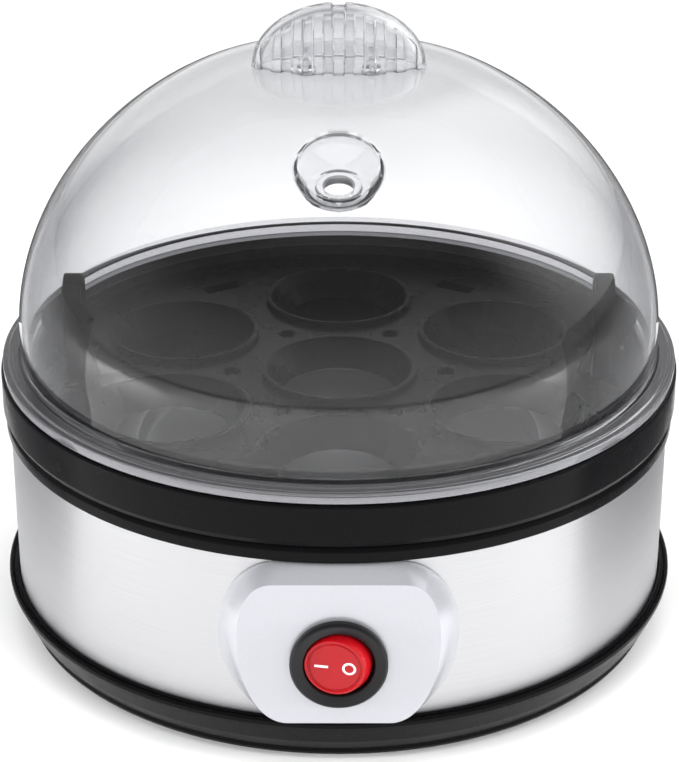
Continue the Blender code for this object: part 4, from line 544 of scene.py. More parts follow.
# %% [markdown]
# The cup has to run into the dome with a small round edge, and the dome slopes, so the edge is high at the rear of
# the cup and low at its front. Each ring of the cup's profile is therefore laid against the dome: a ray along the
# cup's axis finds the dome, and a smooth minimum of the two heights gives the rounded meeting line. The same is
# done once for the outside, and once for the inside with the profile moved out by the cup's wall.


# %% Cup surface
CLEAR_SLOT, RIM_SLOT, CUP_SLOT = range(3)


def give_lid_finishes(mesh, slot):
    """Give a mesh the lid's three finishes, and all its faces one of them."""
    mesh.materials.clear()
    for finish in (clear_lid, satin_rim, cup_resin):
        mesh.materials.append(finish)
    for face in mesh.polygons:
        face.material_index = slot


def cup_form(name, profile, dome_mesh, edge_mm=0.35, steps=144, longest=0.16):
    """A closed form above the cup: its underside is the profile, smoothly kept below the dome's surface."""
    dome_shape = bmesh.new()
    dome_shape.from_mesh(dome_mesh)
    tree = BVHTree.FromBMesh(dome_shape)
    dome_shape.free()
    fine = [profile[0]]
    for (r1, z1), (r2, z2) in zip(profile, profile[1:]):
        parts = max(1, math.ceil(math.hypot(r2 - r1, z2 - z1) / (longest * MM)))
        fine += [(r1 + (r2 - r1) * k / parts, z1 + (z2 - z1) * k / parts) for k in range(1, parts + 1)]
    shape = bmesh.new()
    rings = [[shape.verts.new(vent_place @ Vector((0, 0, profile[0][1])))]]
    down = -(vent_place.to_3x3() @ Vector((0, 0, 1)))
    for r, z in fine[1:]:
        ring = []
        for k in range(steps):
            a = math.tau * k / steps
            spot = Vector((r * math.cos(a), r * math.sin(a), 0.03))
            hit = tree.ray_cast(vent_place @ spot, down)[0]
            dome_level = (vent_place.inverted() @ hit).z
            gap = (z - dome_level) / MM
            drop = edge_mm * math.log1p(math.exp(-abs(gap) / edge_mm))
            lift = 0.04 * smooth(gap, 1.0, 1.6)
            ring.append(shape.verts.new(vent_place @ Vector((spot.x, spot.y, min(z, dome_level) + (lift - drop) * MM))))
        rings.append(ring)
    r = profile[-1][0]
    rings.append([shape.verts.new(vent_place @ Vector((r * math.cos(math.tau * k / steps),
                                                       r * math.sin(math.tau * k / steps),
                                                       0.028))) for k in range(steps)])
    rings.append([shape.verts.new(vent_place @ Vector((0, 0, 0.028)))])
    for a, b in zip(rings, rings[1:]):
        for k in range(steps):
            corners = list(dict.fromkeys([a[k % len(a)], a[(k + 1) % len(a)], b[(k + 1) % len(b)], b[k % len(b)]]))
            shape.faces.new(corners)
    bmesh.ops.recalc_face_normals(shape, faces=shape.faces[:])
    mesh = bpy.data.meshes.new(name)
    shape.to_mesh(mesh)
    shape.free()
    give_lid_finishes(mesh, CUP_SLOT)
    print(name, "faces:", len(mesh.polygons))
    return mesh


# %% Lid made by carving
solid_lid = [(0, 69.0 * MM)] + flange[1:] + outer_dome
dome = show("clear_dome", turned_mesh("clear_dome", solid_lid, 240), clear_lid)
cavity = show("cavity", turned_mesh("cavity", [(0, 60 * MM), (80.5 * MM, 60 * MM), (80.5 * MM, 78 * MM)] + inner_dome,
                                    240),
              clear_lid)
for form in (dome, cavity):
    give_lid_finishes(form.data, CLEAR_SLOT)
inside = soften([(0, -CUP_WALL, 0), (8.0, -CUP_WALL, 1.8), (11.0, 5.6, 1.5), (11.8, 10.5, 1.5), (12.4, 16, 0)],
                closed=False, steps=12)
carve(cavity, cup_form("cup_inside", inside, cavity.data))
pocket = soften([(0, -4.0, 0), (3.7, -4.0, 0), (3.7, 0.8, 0.25), (5.2, 0.8, 0.35), (5.5, 0, 0.25), (7.0, 0, 1.0),
                 (9.5, 6.0, 1.5), (10.2, 10.5, 1.5), (10.8, 16, 0)], closed=False, steps=10)
pocket_mesh = cup_form("cup_pocket", pocket, dome.data)
cavity_mesh = cavity.data.copy()
bpy.data.objects.remove(cavity)
carve(dome, cavity_mesh)
carve(dome, pocket_mesh)
carve(dome, rods("peg_holes", [((x, 0, 140), (x, 0, 152), 2.3, 2.3) for x in (-8.0, 8.0)], 32))
dome.data.shade_smooth()
dome.data.set_sharp_from_angle(angle=math.radians(40))
RIM_TOP = 74.95
for face in dome.data.polygons:
    if face.center.z < RIM_TOP * MM:
        face.material_index = RIM_SLOT
print("faces in the rim, cup and wall:", [sum(f.material_index == k for f in dome.data.polygons)
                                          for k in (RIM_SLOT, CUP_SLOT, CLEAR_SLOT)])
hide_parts("lid_dome")
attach(dome, "lid")
print("dome faces:", len(dome.data.polygons))

# %% [markdown]
# ## The grip
# The grip is a hollow half-ellipsoid with upright flutes outside and a smooth wall inside. The flutes are flat,
# with a narrow step at each edge, and all of them fade out just inside the smooth rim.

# %% Fluted grip
GRIP_HALF_WIDTH, GRIP_HALF_DEPTH, GRIP_HEIGHT, GRIP_WALL = 21.5, 10.0, 15.7, 2.0
GRIP_BASE = 148.5
FLUTE_PITCH, FLUTE_DEPTH, FLUTE_EDGE = 5.1, 0.95, 0.22
RIM_BAND = 1.8
NOTCH_HALF, NOTCH_DEPTH = 1.7, 0.7
FOOT_ROUND = 0.8


def grip_sheet(shape, half_width, half_depth, height, depth, foot_round, stations=420, arcs=96):
    """Add one half-ellipsoid sheet of the grip with flat flutes, and return its rows of points."""
    rows = []
    for i in range(1, stations):
        x = -half_width * math.cos(math.pi * i / stations)
        span = math.sqrt(max(1 - (x / half_width) ** 2, 0))
        tall = height * span - NOTCH_DEPTH * (1 - smooth(abs(x), NOTCH_HALF - 0.2, NOTCH_HALF + 0.1))
        groove = depth * smooth(-math.cos(math.tau * x / FLUTE_PITCH), -FLUTE_EDGE, FLUTE_EDGE)
        row = []
        for j in range(arcs + 1):
            t = j / arcs
            v = math.pi * (t - 0.85 * math.sin(math.tau * t) / math.tau)
            z = tall * math.sin(v)
            ends = smooth(height * span - z, RIM_BAND - 0.3, RIM_BAND + 0.3)
            foot = foot_round - math.sqrt(max(foot_round ** 2 - max(foot_round - z, 0) ** 2, 0))
            flat = 1 - 0.12 * max(0.0, 1 - z / height)
            y = -math.cos(v) * max(half_depth * span * flat - groove * ends - foot * span, 0.0)
            row.append(shape.verts.new((x * MM, y * MM, (GRIP_BASE + z) * MM)))
        rows.append(row)
    for a, b in zip(rows, rows[1:]):
        for j in range(arcs):
            shape.faces.new((a[j], a[j + 1], b[j + 1], b[j]))
    for row in (rows[0], rows[-1]):
        shape.faces.new(row)
    return rows


shape = bmesh.new()
outer_rows = grip_sheet(shape, GRIP_HALF_WIDTH, GRIP_HALF_DEPTH, GRIP_HEIGHT, FLUTE_DEPTH, FOOT_ROUND)
inner_rows = grip_sheet(shape, GRIP_HALF_WIDTH - GRIP_WALL, GRIP_HALF_DEPTH - GRIP_WALL, GRIP_HEIGHT - GRIP_WALL,
                        0.0, 0.0)
for end in (0, -1):
    for i in range(len(outer_rows) - 1):
        shape.faces.new((outer_rows[i][end], outer_rows[i + 1][end], inner_rows[i + 1][end], inner_rows[i][end]))
for i in (0, -1):
    shape.faces.new((outer_rows[i][0], inner_rows[i][0], inner_rows[i][-1], outer_rows[i][-1]))
base_line = [row[0].co.copy() for row in outer_rows] + [row[-1].co.copy() for row in reversed(outer_rows)]
bmesh.ops.recalc_face_normals(shape, faces=shape.faces[:])
grip_mesh = bpy.data.meshes.new("fluted_grip")
shape.to_mesh(grip_mesh)
shape.free()
grip_mesh.shade_smooth()
grip = show("fluted_grip", grip_mesh, fluted_resin)
# The second slot holds the painted shadow line round the grip's foot.
grip_mesh.materials.append(foot_shadow_line)
peg_profile = soften([(0, 145.0, 0), (2.6, 145.0, 0.4), (2.6, 146.1, 0.2), (2.0, 146.1, 0), (2.0, 150.4, 0.3),
                      (0, 150.4, 0)], closed=False)
for x in (-8.0, 8.0):
    peg = turned_mesh("peg", peg_profile, 32)
    peg.transform(Matrix.Translation((x * MM, 0, 0)))
    carve(grip, peg, "UNION")
    shape = bmesh.new()
    bmesh.ops.create_cube(shape, size=MM, matrix=Matrix.Translation((x * MM, 0, 150.3 * MM))
                          @ Matrix.Diagonal((1.2, 13.8, 2.6, 1.0)))
    web = bpy.data.meshes.new("web")
    shape.to_mesh(web)
    shape.free()
    carve(grip, web, "UNION")

# %% [markdown]
# A fine dark line of painted shadow runs round the grip's foot, where it meets the dome. It is a thin tube along the
# foot's own edge. It joins the grip after the pegs, because a Boolean is safest on a mesh without such a loose tube.

# %% Painted shadow line under the grip
SHADOW_LINE_ROUND, SHADOW_LINE_SIDES = 0.26 * MM, 6
shape = bmesh.new()
shadow_line_rings = []
for k, here in enumerate(base_line):
    run = (base_line[(k + 1) % len(base_line)] - base_line[k - 1]).normalized()
    across = run.cross(Vector((0, 0, 1)))
    turns = [math.tau * s / SHADOW_LINE_SIDES for s in range(SHADOW_LINE_SIDES)]
    shadow_line_rings.append([shape.verts.new(here + SHADOW_LINE_ROUND * (across * math.cos(a) + Vector((0, 0, math.sin(a)))))
                       for a in turns])
for k, ring in enumerate(shadow_line_rings):
    after = shadow_line_rings[(k + 1) % len(shadow_line_rings)]
    for s in range(SHADOW_LINE_SIDES):
        shape.faces.new((ring[s], ring[(s + 1) % SHADOW_LINE_SIDES], after[(s + 1) % SHADOW_LINE_SIDES], after[s])).material_index = 1
bmesh.ops.recalc_face_normals(shape, faces=shape.faces[:])
shadow_line_mesh = bpy.data.meshes.new("weld")
shape.to_mesh(shadow_line_mesh)
shape.free()
grip = join_pieces("fluted_grip", grip, show("weld", shadow_line_mesh, foot_shadow_line))
grip.data.shade_smooth()
grip.data.set_sharp_from_angle(angle=math.radians(45))
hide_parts("lid_grip")
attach(grip, "lid")
print("grip faces:", len(grip.data.polygons))

# %% [markdown]
# ## The tray
# One moulding: a deep outer skirt, a rim that the lid drops into, a flat plate and seven conical seats. Steam
# comes up through round holes between the seats and slots near the rim. Two upright ears lift it out.

# %% Tray shell with its holes
SEAT_CIRCLE, SEAT_MOUTH, SEAT_THROAT, SEAT_WALL = 48.7, 19.2, 14.5, 1.3
PLATE_TOP, PLATE_UNDER = 65.0, 63.0
tray_profile = soften([(0, PLATE_TOP, 0), (82.6, PLATE_TOP, 0.8), (84.6, 71.5, 0.7), (87.6, 71.5, 0.9),
                       (87.6, 62.2, 0.5), (86.9, 60.7, 0.5), (85.4, 60.7, 0.3), (85.4, 66.5, 0.8),
                       (84.2, PLATE_UNDER, 0.6),
                       (0, PLATE_UNDER, 0)], closed=False)
tray = show("seat_tray", turned_mesh("seat_tray", tray_profile, 240), black_moulding)
seat_places = [Vector((0, 0, 0))] + [polar(SEAT_CIRCLE, -90 + 60 * k) for k in range(6)]
steam_holes = [(polar(SEAT_CIRCLE / math.sqrt(3), 60 * k, 60), polar(SEAT_CIRCLE / math.sqrt(3), 60 * k, 68), 2.4, 2.4)
               for k in range(6)]
seat_holes = [(p + Vector((0, 0, 60)), p + Vector((0, 0, 68)), 19.6, 19.6) for p in seat_places]
carve(tray, rods("tray_holes", seat_holes + steam_holes, 64))
shape = bmesh.new()
for k in (1, 2, 4, 5):
    bmesh.ops.create_cube(shape, size=MM, matrix=Matrix.Rotation(math.radians(60 * k), 4, "Z")
                          @ Matrix.Translation((66.65 * MM, 0, 64 * MM)) @ Matrix.Diagonal((4.8, 11.0, 8.0, 1.0)))
slots = bpy.data.meshes.new("slots")
shape.to_mesh(slots)
shape.free()
carve(tray, slots)
tray.data.shade_smooth()
tray.data.set_sharp_from_angle(angle=math.radians(35))

# %% Seats: a rounded collar and cone, copied by the ring tree
seat_profile = soften([(20.5, 63.4, 0), (20.5, 66.5, 0.6), (SEAT_MOUTH, 66.5, 0.6), (SEAT_THROAT, 59.0, 0.4),
                       (SEAT_THROAT + SEAT_WALL, 59.0, 0.4), (19.3, 63.4, 0)], closed=True)
seats = ring_of("seats", turned_mesh("seat", seat_profile, 96), black_moulding, 6, SEAT_CIRCLE, -90, middle=True)


# %% Lift ears
def slab(name, outline, normal_axis, thickness, round_mm):
    """A flat plate from an outline of (x, y, z) millimetres, rounded along its edges."""
    shape = bmesh.new()
    face = shape.faces.new([shape.verts.new(Vector(p) * MM) for p in outline])
    step = Vector([thickness * MM if k == normal_axis else 0 for k in range(3)])
    bmesh.ops.translate(shape, verts=face.verts[:], vec=-step / 2)
    grown = bmesh.ops.extrude_face_region(shape, geom=[face])
    bmesh.ops.translate(shape, verts=[g for g in grown["geom"] if isinstance(g, bmesh.types.BMVert)], vec=step)
    bmesh.ops.recalc_face_normals(shape, faces=shape.faces[:])
    bmesh.ops.bevel(shape, geom=shape.edges[:], offset=round_mm * MM, segments=3, profile=0.5, affect="EDGES",
                    clamp_overlap=True)
    mesh = bpy.data.meshes.new(name)
    shape.to_mesh(mesh)
    shape.free()
    mesh.shade_smooth()
    mesh.set_sharp_from_angle(angle=math.radians(50))
    return show(name, mesh, black_moulding)


ear_parts = []
for side in (-1, 1):
    arch = [(side * 68.6, 5.5 * math.cos(a), 87.0 + 5.5 * math.sin(a))
            for a in (math.pi * k / 24 for k in range(25))]
    ear_parts.append(slab("ear_post", [(side * 68.6, 5.5, 64.0), *arch, (side * 68.6, -5.5, 64.0)], 0, 4.8, 0.5))
    fin = [(68.6, 64.0), (71.8, 68.3), (77.8, 79.3), (77.8, 82.6), (68.6, 90.3)]
    ear_parts.append(slab("ear_fin", [(side * x, 0, z) for x, z in fin], 1, 2.2, 0.4))
    foot = [(68.6, 80.1), (68.6, 64.0), (62.2, 64.0)]
    ear_parts.append(slab("ear_foot", [(side * x, 0, z) for x, z in foot], 1, 2.2, 0.4))
tray = join_pieces("seat_tray", tray, seats, *ear_parts)
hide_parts("egg_tray")
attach(tray, "tray")
print("tray faces:", len(tray.data.polygons))

# %% [markdown]
# ## The housing, the band and the base
# The housing is the ring that the tray stands on. Outside it shows as a rounded lip above the band. Inside it is a
# sloping bowl that leads condensate to the dish. The band is a steel strip, rolled round and lapped at the
# rear. The base flares out below it like a shallow bowl, with a fine bead at its top edge.

# %% Upper housing
housing_profile = soften([
    (87.0, 56.5, 0.9), (87.0, 59.2, 0.9), (86.0, 60.4, 0.5), (84.8, 60.4, 0.2), (84.8, 62.7, 0.5), (82.8, 62.7,
                                                                                                    0.5), (82.2, 58.4, 1.5),
    (65.3, 48.2, 2.5), (62.3, 47.6, 0.4), (62.3, 45.0, 0.2), (55.5, 45.0, 0.3), (55.5, 43.0, 0.3), (64.3, 43.0, 0.8),
    (65.3, 45.6, 1.0), (80.2, 55.8, 1.0), (83.2, 55.8, 0.4), (83.2, 51.0, 0.2), (85.2, 51.0, 0.2), (85.2, 57.6, 0.1),
    (86.3, 57.6, 0.1), (86.3, 56.5, 0.1)])
housing = show("upper_ring", turned_mesh("upper_ring", housing_profile, 240), black_moulding)
post_profile = soften([(0, 9.6, 0), (4.2, 9.6, 0.3), (4.2, 50.5, 0), (0, 50.5, 0)], closed=False)
POST_CIRCLE, POST_DEGREES = 73.75, (24, -24, 180 - 24, 180 + 24)
post_parts = []
for degrees in POST_DEGREES:
    post = turned_mesh("post", post_profile, 32)
    post.transform(Matrix.Translation(polar(POST_CIRCLE, degrees) * MM))
    post_parts.append(show("post", post, black_moulding))
housing = join_pieces("upper_ring", housing, *post_parts)
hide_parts("upper_housing")
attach(housing, "body")

# %% Steel band with its lap at the rear
band_shape = bmesh.new()
BAND_STEPS = 288
LAP_MM = 0.6
band_rows = []
for k in range(BAND_STEPS + 1):
    angle = math.radians(90) + (math.tau - LAP_MM / 86) * k / BAND_STEPS + LAP_MM / 172
    band_rows.append([band_shape.verts.new((r * MM * math.cos(angle), r * MM * math.sin(angle), z * MM))
                      for r, z in ((86.0, 13.3), (86.0, 57.3), (85.5, 57.3), (85.5, 13.3))])
for a, b in zip(band_rows, band_rows[1:]):
    for k in range(4):
        band_shape.faces.new((a[k], a[(k + 1) % 4], b[(k + 1) % 4], b[k]))
band_shape.faces.new(band_rows[0])
band_shape.faces.new(list(reversed(band_rows[-1])))
bmesh.ops.recalc_face_normals(band_shape, faces=band_shape.faces[:])
band_mesh = bpy.data.meshes.new("steel_wall")
band_shape.to_mesh(band_mesh)
band_shape.free()
band = show("steel_wall", band_mesh, brushed_steel)
# The switch stands 0.8 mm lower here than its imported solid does, which follows the photograph.
SWITCH_LEVEL, BAND_HOLE_ROUND = 32.4, 10.3
hole_ends = ((0, -95, SWITCH_LEVEL), (0, -70, SWITCH_LEVEL))
carve(band, rods("barrel_hole", [(*hole_ends, BAND_HOLE_ROUND, BAND_HOLE_ROUND)], 64))
band.data.shade_smooth()
band.data.set_sharp_from_angle(angle=math.radians(35))
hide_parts("steel_band")
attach(band, "body")

# %% Base pan with its slots, cups and gland boss
pan_profile = soften([
    (0, 1.5, 0), (82.3, 1.5, 1.5), (84.2, 2.3, 0.6), (84.6, 3.2, 0.25), (84.3, 3.8, 0.25), (86.5, 7.3, 3.0), (88.2,
                                                                                                              11.1, 2.0),
    (88.9, 12.7, 0.7), (88.8, 13.6, 0.3), (88.2, 14.1, 0.4), (87.6, 13.5, 0.2), (87.1, 13.5, 0.2), (87.1, 14.0, 0.25),
    (86.3, 14.1, 0.2), (86.3, 13.0, 0.1), (85.2, 13.0, 0.1), (85.2, 17.0, 0.3), (83.2, 17.0, 0.3), (82.9, 4.1, 0.4),
    (82.5, 3.7, 0.2), (0, 3.7, 0)], closed=False)
pan = show("base_bowl", turned_mesh("base_bowl", pan_profile, 240), black_moulding)
carve(pan, rods("boss", [((0, 84.3, 8.25), (0, 90.0, 8.25), 4.7, 4.7)], 48), "UNION")
cups = []
recesses = []
for degrees in POST_DEGREES:
    cups.append((polar(POST_CIRCLE, degrees, 2.6), polar(POST_CIRCLE, degrees, 9.3), 5.3, 5.3))
    recesses.append((polar(POST_CIRCLE, degrees, -1), polar(POST_CIRCLE, degrees, 7.3), 3.7, 3.7))
    recesses.append((polar(POST_CIRCLE, degrees, 7.0), polar(POST_CIRCLE, degrees, 12.0), 1.8, 1.8))
carve(pan, rods("cups", cups, 40), "UNION")
for k in range(4):
    recesses.append((polar(64, 45 + 90 * k, -1), polar(64, 45 + 90 * k, 6), 2.7, 2.7))
recesses.append(((0, 76, 8.25), (0, 95, 8.25), 3.95, 3.95))
for spot in recesses:
    carve(pan, rods("hole", [spot], 40))
shape = bmesh.new()
for k in range(7):
    bmesh.ops.create_cube(shape, size=MM, matrix=Matrix.Translation(((k - 3) * 6 * MM, 0, 2.6 * MM))
                          @ Matrix.Diagonal((2.6, 18.0, 8.0, 1.0)))
slots = bpy.data.meshes.new("slots")
shape.to_mesh(slots)
shape.free()
carve(pan, slots)
pan.data.shade_smooth()
pan.data.set_sharp_from_angle(angle=math.radians(35))
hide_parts("base_pan")
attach(pan, "body")
print("base faces:", len(pan.data.polygons))

# %% [markdown]
# ## Feet, screws and the gland
# Four rubber feet are pushed into the base, and four long screws in deep cups hold it to the housing. The gland is
# a rubber bush in the rear wall.

# %% Feet
foot_profile = soften([(0, 0, 0), (6.5, 0, 0.5), (6.5, 1.2, 0.2), (2.4, 1.2, 0), (2.4, 4.0, 0), (3.4, 4.0, 0.2),
                       (2.4, 5.8, 0.4),
                       (0, 5.8, 0)], closed=False)
feet = ring_of("rubber_feet", turned_mesh("foot", foot_profile, 48), foot_rubber, 4, 64.0, 45)
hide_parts("foot_front_left", "foot_front_right", "foot_rear_left", "foot_rear_right")
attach(feet, "body")

# %% Cord gland
gland_profile = soften([(3.05, 80.6, 0.2), (3.65, 80.6, 0.2), (3.95, 82.1, 0.2), (3.65, 82.2, 0), (3.65, 90.3, 0),
                        (4.7, 90.3, 0.3),
                        (4.7, 91.8, 0.6), (3.7, 92.4, 0.3), (3.35, 95.8, 0.3), (3.05, 95.8, 0.1)])
gland_mesh = turned_mesh("rear_gland", gland_profile, 64)
gland_mesh.transform(Matrix.Translation((0, 0, 8.25 * MM)) @ Matrix.Rotation(math.radians(-90), 4, "X"))
gland = show("rear_gland", gland_mesh, foot_rubber)
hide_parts("cord_gland")
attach(gland, "body")

# %% [markdown]
# ## The switch panel
# A pressed form with round shoulders. Its outline is flat along the top and bottom and bulges at the sides. A wide
# bevel runs round the top and the sides and fades out along the bottom edge, and the whole stands on the band.

# %% Panel loft
PANEL_FRONT, BAND_OUTER = -91.0, 86.3
# half width, top, bottom, widest level, flat half at the top and bottom, corner power at the top and bottom
PANEL_FOOT = np.array((28.3, 56.2, 15.4, 35.9, 12.8, 12.6, 2.05, 2.05))
PANEL_FACE = np.array((23.7, 53.1, 15.7, 38.2, 15.2, 12.0, 2.30, 2.05))


def panel_outline(share, steps=28):
    """The panel's outline in x and z, from its foot on the band (share 0) to its face (share 1)."""
    half, top, low, level, flat_top, flat_low, power_top, power_low = PANEL_FOOT + (PANEL_FACE - PANEL_FOOT) * share

    def quarter(flat, tall, power):
        angles = [math.pi / 2 * k / steps for k in range(steps)]
        return [(flat + (half - flat) * math.cos(t) ** (2 / power),
                 tall * math.sin(t) ** (2 / power)) for t in angles] \
            + [(flat, tall)]

    upper = [(x, level + z) for x, z in quarter(flat_top, top - level, power_top)]
    lower = [(x, level - z) for x, z in quarter(flat_low, level - low, power_low)]
    middle_top = [(flat_top - 2 * flat_top * k / 10, top) for k in range(1, 10)]
    middle_low = [(-flat_low + 2 * flat_low * k / 10, low) for k in range(1, 10)]
    return (upper + middle_top + [(-x, z) for x, z in reversed(upper)] + [(-x, z) for x, z in lower[1:]] + middle_low
            + list(reversed(lower))[:-1])


def panel_edge(x):
    """How far forward the panel's edge stands at a place across it."""
    return -math.sqrt(BAND_OUTER ** 2 - x ** 2) - 0.8


shape = bmesh.new()
loops = []
BEVEL_ROWS = 14
for k in range(-1, BEVEL_ROWS + 1):
    t = max(k, 0) / BEVEL_ROWS
    rise = t ** 0.85
    loop = []
    for x, z in panel_outline(t):
        edge = panel_edge(x)
        y = edge + 3.0 if k < 0 else edge + (PANEL_FRONT - edge) * rise
        loop.append(shape.verts.new((x * MM, y * MM, z * MM)))
    loops.append(loop)
for a, b in zip(loops, loops[1:]):
    for k in range(len(a)):
        shape.faces.new((a[k], a[(k + 1) % len(a)], b[(k + 1) % len(b)], b[k]))
shape.faces.new(loops[-1])
shape.faces.new(list(reversed(loops[0])))
bmesh.ops.recalc_face_normals(shape, faces=shape.faces[:])
panel_mesh = bpy.data.meshes.new("silver_panel")
shape.to_mesh(panel_mesh)
shape.free()
panel = show("silver_panel", panel_mesh, silver_lacquer)
carve(panel, rods("panel_core", [((0, 0, 5), (0, 0, 65), BAND_OUTER, BAND_OUTER)], 256))
PANEL_HOLE_ROUND = 10.2
hole_ends = ((0, -95, SWITCH_LEVEL), (0, -80, SWITCH_LEVEL))
carve(panel, rods("panel_hole", [(*hole_ends, PANEL_HOLE_ROUND, PANEL_HOLE_ROUND)], 96))
panel.data.shade_smooth()
panel.data.set_sharp_from_angle(angle=math.radians(38))
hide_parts("switch_panel")
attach(panel, "body")

# %% [markdown]
# ## The rocker switch
# The bezel is a turned ring whose opening has a soft edge. The rocker is a short round plug with a flat face, which
# rests tilted with its left side pressed. Its marks are a bar and a ring in white ink.

# %% Bezel and barrel
bezel_profile = soften([(0, -72.3, 0), (9.9, -72.3, 0.6), (9.9, -91.3, 0.1), (11.5, -91.3, 0.1), (11.5, -92.6, 0.4),
                        (10.9, -93.3, 0.4), (8.6, -92.5, 0.3), (8.35, -92.2, 0.2), (8.35, -82.3, 0), (0, -82.3, 0)],
                       closed=False)
bezel_mesh = turned_mesh("bezel", bezel_profile, 128)
bezel_mesh.transform(Matrix.Translation((0, 0, SWITCH_LEVEL * MM)) @ Matrix.Rotation(math.radians(-90), 4, "X"))
bezel = show("bezel", bezel_mesh, switch_black)
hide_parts("switch_body")
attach(bezel, "body")

# %% Rocker and its marks
PIVOT = Vector((0, -89.8, SWITCH_LEVEL)) * MM
rocker_place = Matrix.Translation(PIVOT) @ Matrix.Rotation(math.radians(-10.5), 4, "Z")
ROCKER_RISE, ROCKER_LEAN = 3.7, 0.10
rocker_profile = soften([(0, -3.5, 0), (5.9, -3.5, 0.3), (6.3, -3.2, 0.3), (6.6, -ROCKER_RISE, 0.25),
                         (7.15, -ROCKER_RISE, 0.35), (7.95, -1.4, 1.2), (8.1, 0.8, 1.0), (7.9, 3.4, 0.3),
                         (5.55, 3.4, 0.2), (5.55, -2.2, 0.3), (0, -2.2, 0)], closed=False)
rocker_mesh = turned_mesh("rocker", rocker_profile, 128)
for corner in rocker_mesh.vertices:
    corner.co.x += ROCKER_LEAN * min(corner.co.z, 0.0)
rocker_mesh.transform(rocker_place @ Matrix.Rotation(math.radians(-90), 4, "X"))
rocker = show("rocker", rocker_mesh, red_lens)
pins = rods("pins", [((0, 0, s * 6.5), (0, 0, s * 9.3), 1.2, 1.2) for s in (-1, 1)], 24)
pins.transform(rocker_place)
carve(rocker, pins, "UNION")
rocker.data.shade_smooth()
rocker.data.set_sharp_from_angle(angle=math.radians(40))
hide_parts("switch_rocker")
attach(rocker, "rocker")

mark_ring = turned_mesh("mark_ring", soften([(1.1, 3.48, 0), (1.1, 3.54, 0), (1.6, 3.54, 0), (1.6, 3.48, 0)]), 64)
mark_ring.transform(rocker_place @ Matrix.Translation((3.1 * MM, 0, 0)) @ Matrix.Rotation(math.radians(90), 4, "X"))
shape = bmesh.new()
bmesh.ops.create_cube(shape, size=MM, matrix=rocker_place @ Matrix.Translation((-3.5 * MM, -3.51 * MM, 0))
                      @ Matrix.Diagonal((3.2, 0.06, 0.55, 1.0)))
mark_bar = bpy.data.meshes.new("mark_bar")
shape.to_mesh(mark_bar)
shape.free()
marks = join_pieces("rocker_marks", show("rocker_marks", mark_ring, mark_white), show("bar", mark_bar, mark_white))
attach(marks, "rocker")

# %% [markdown]
# ## The water dish and the inner pieces
# The dish is spun from sheet and shows through the seats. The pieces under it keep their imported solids, which are
# the right shape already, and get the finish of the real material.

# %% Water dish
dish_profile = soften([(0, 41.6, 0), (53.0, 41.6, 1.0), (53.0, 47.6, 0.6), (62.0, 47.6, 0.2), (62.0, 46.6, 0.2),
                       (54.0, 46.6, 0.4),
                       (54.0, 40.6, 1.2), (0, 40.6, 0)], closed=False)
dish = show("water_dish", turned_mesh("water_dish", dish_profile, 192), spun_steel)
stud_parts = [show("studs", rods("studs", [
    *[(polar(40.5, 90 + 120 * k, 28.8), polar(40.5, 90 + 120 * k, 41), 2.0, 2.0) for k in range(3)],
    ((-12, 0, 34.4), (-12, 0, 41), 1.5, 1.5), ((12, 0, 34.4), (12, 0, 41), 1.5, 1.5)], 24), spun_steel)]
dish = join_pieces("water_dish", dish, *stud_parts)
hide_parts("heating_plate")
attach(dish, "body")

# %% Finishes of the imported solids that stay
for name, node in nodes.items():
    if node.hide_render:
        continue
    finish = zinc_plate
    if name.startswith("lead_"):
        finish = lead_sleeve
    elif name.startswith("switch_terminal") or name == "block_screw":
        finish = brass_blade
    elif name == "thermostat":
        finish = ceramic_body
    elif name == "terminal_block":
        finish = block_nylon
    elif name == "plate_seal":
        finish = red_silicone
    elif name == "indicator_lamp":
        finish = lamp_glass
    node.data.materials.clear()
    node.data.materials.append(finish)
print("solids kept:", sum(not n.hide_render for n in nodes.values()))

# %% [markdown]
# ## Floor and light
# The boiler stands on a pale sweep under big soft lights, so the black moulding stays dark, the steel shows long
# soft bands and the lid is drawn by its edges.

# %% Floor
floor_finish, tree, shader, place = start_finish("matt white sweep", "#F6F6F6", 0.9)
roughness_cloud(tree, shader, place, 40.0, 0.85, 0.95)
shape = bmesh.new()
bmesh.ops.create_circle(shape, cap_ends=True, segments=96, radius=3.0)
floor_mesh = bpy.data.meshes.new("floor")
shape.to_mesh(floor_mesh)
shape.free()
floor = show("floor", floor_mesh, floor_finish)
floor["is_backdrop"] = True


# %% Lights and world
def soft_light(name, place_m, aim_m, size_m, watts):
    """A square area light at a place, aimed at a point."""
    data = bpy.data.lights.new(name, "AREA")
    data.shape = "RECTANGLE"
    data.size, data.size_y = size_m
    data.energy = watts
    light = bpy.data.objects.new(name, data)
    light.location = place_m
    light.rotation_euler = (Vector(aim_m) - Vector(place_m)).to_track_quat("-Z", "Y").to_euler()
    bpy.context.scene.collection.objects.link(light)
    return light


for name, place_m, aim_m, size_m, watts in (
        ("overhead", (0, -0.35, 1.5), (0, -0.1, 0), (1.6, 1.6), 22),
        ("front left", (-0.9, -1.1, 0.8), (0, -0.1, 0.03), (0.8, 1.0), 11),
        ("front right", (1.0, -1.0, 0.8), (0, -0.1, 0.03), (0.6, 1.0), 9),
        ("left of the panel", (-0.8, -0.2, 0.08), (0, -0.09, 0.035), (0.2, 0.1), 9),
        ("right of the panel", (0.8, -0.2, 0.08), (0, -0.09, 0.035), (0.2, 0.1), 9)):
    lamp = soft_light(name, place_m, aim_m, size_m, watts)
    lamp.visible_glossy = False
    lamp.visible_transmission = False

# %% [markdown]
# Two grey boards stand beside the boiler, just out of the picture, and a dark card lies behind it. The steel
# mirrors the boards at its sides, so that the band turns from bright to grey round the curve, as it does in the
# photograph. The camera sees none of the three.


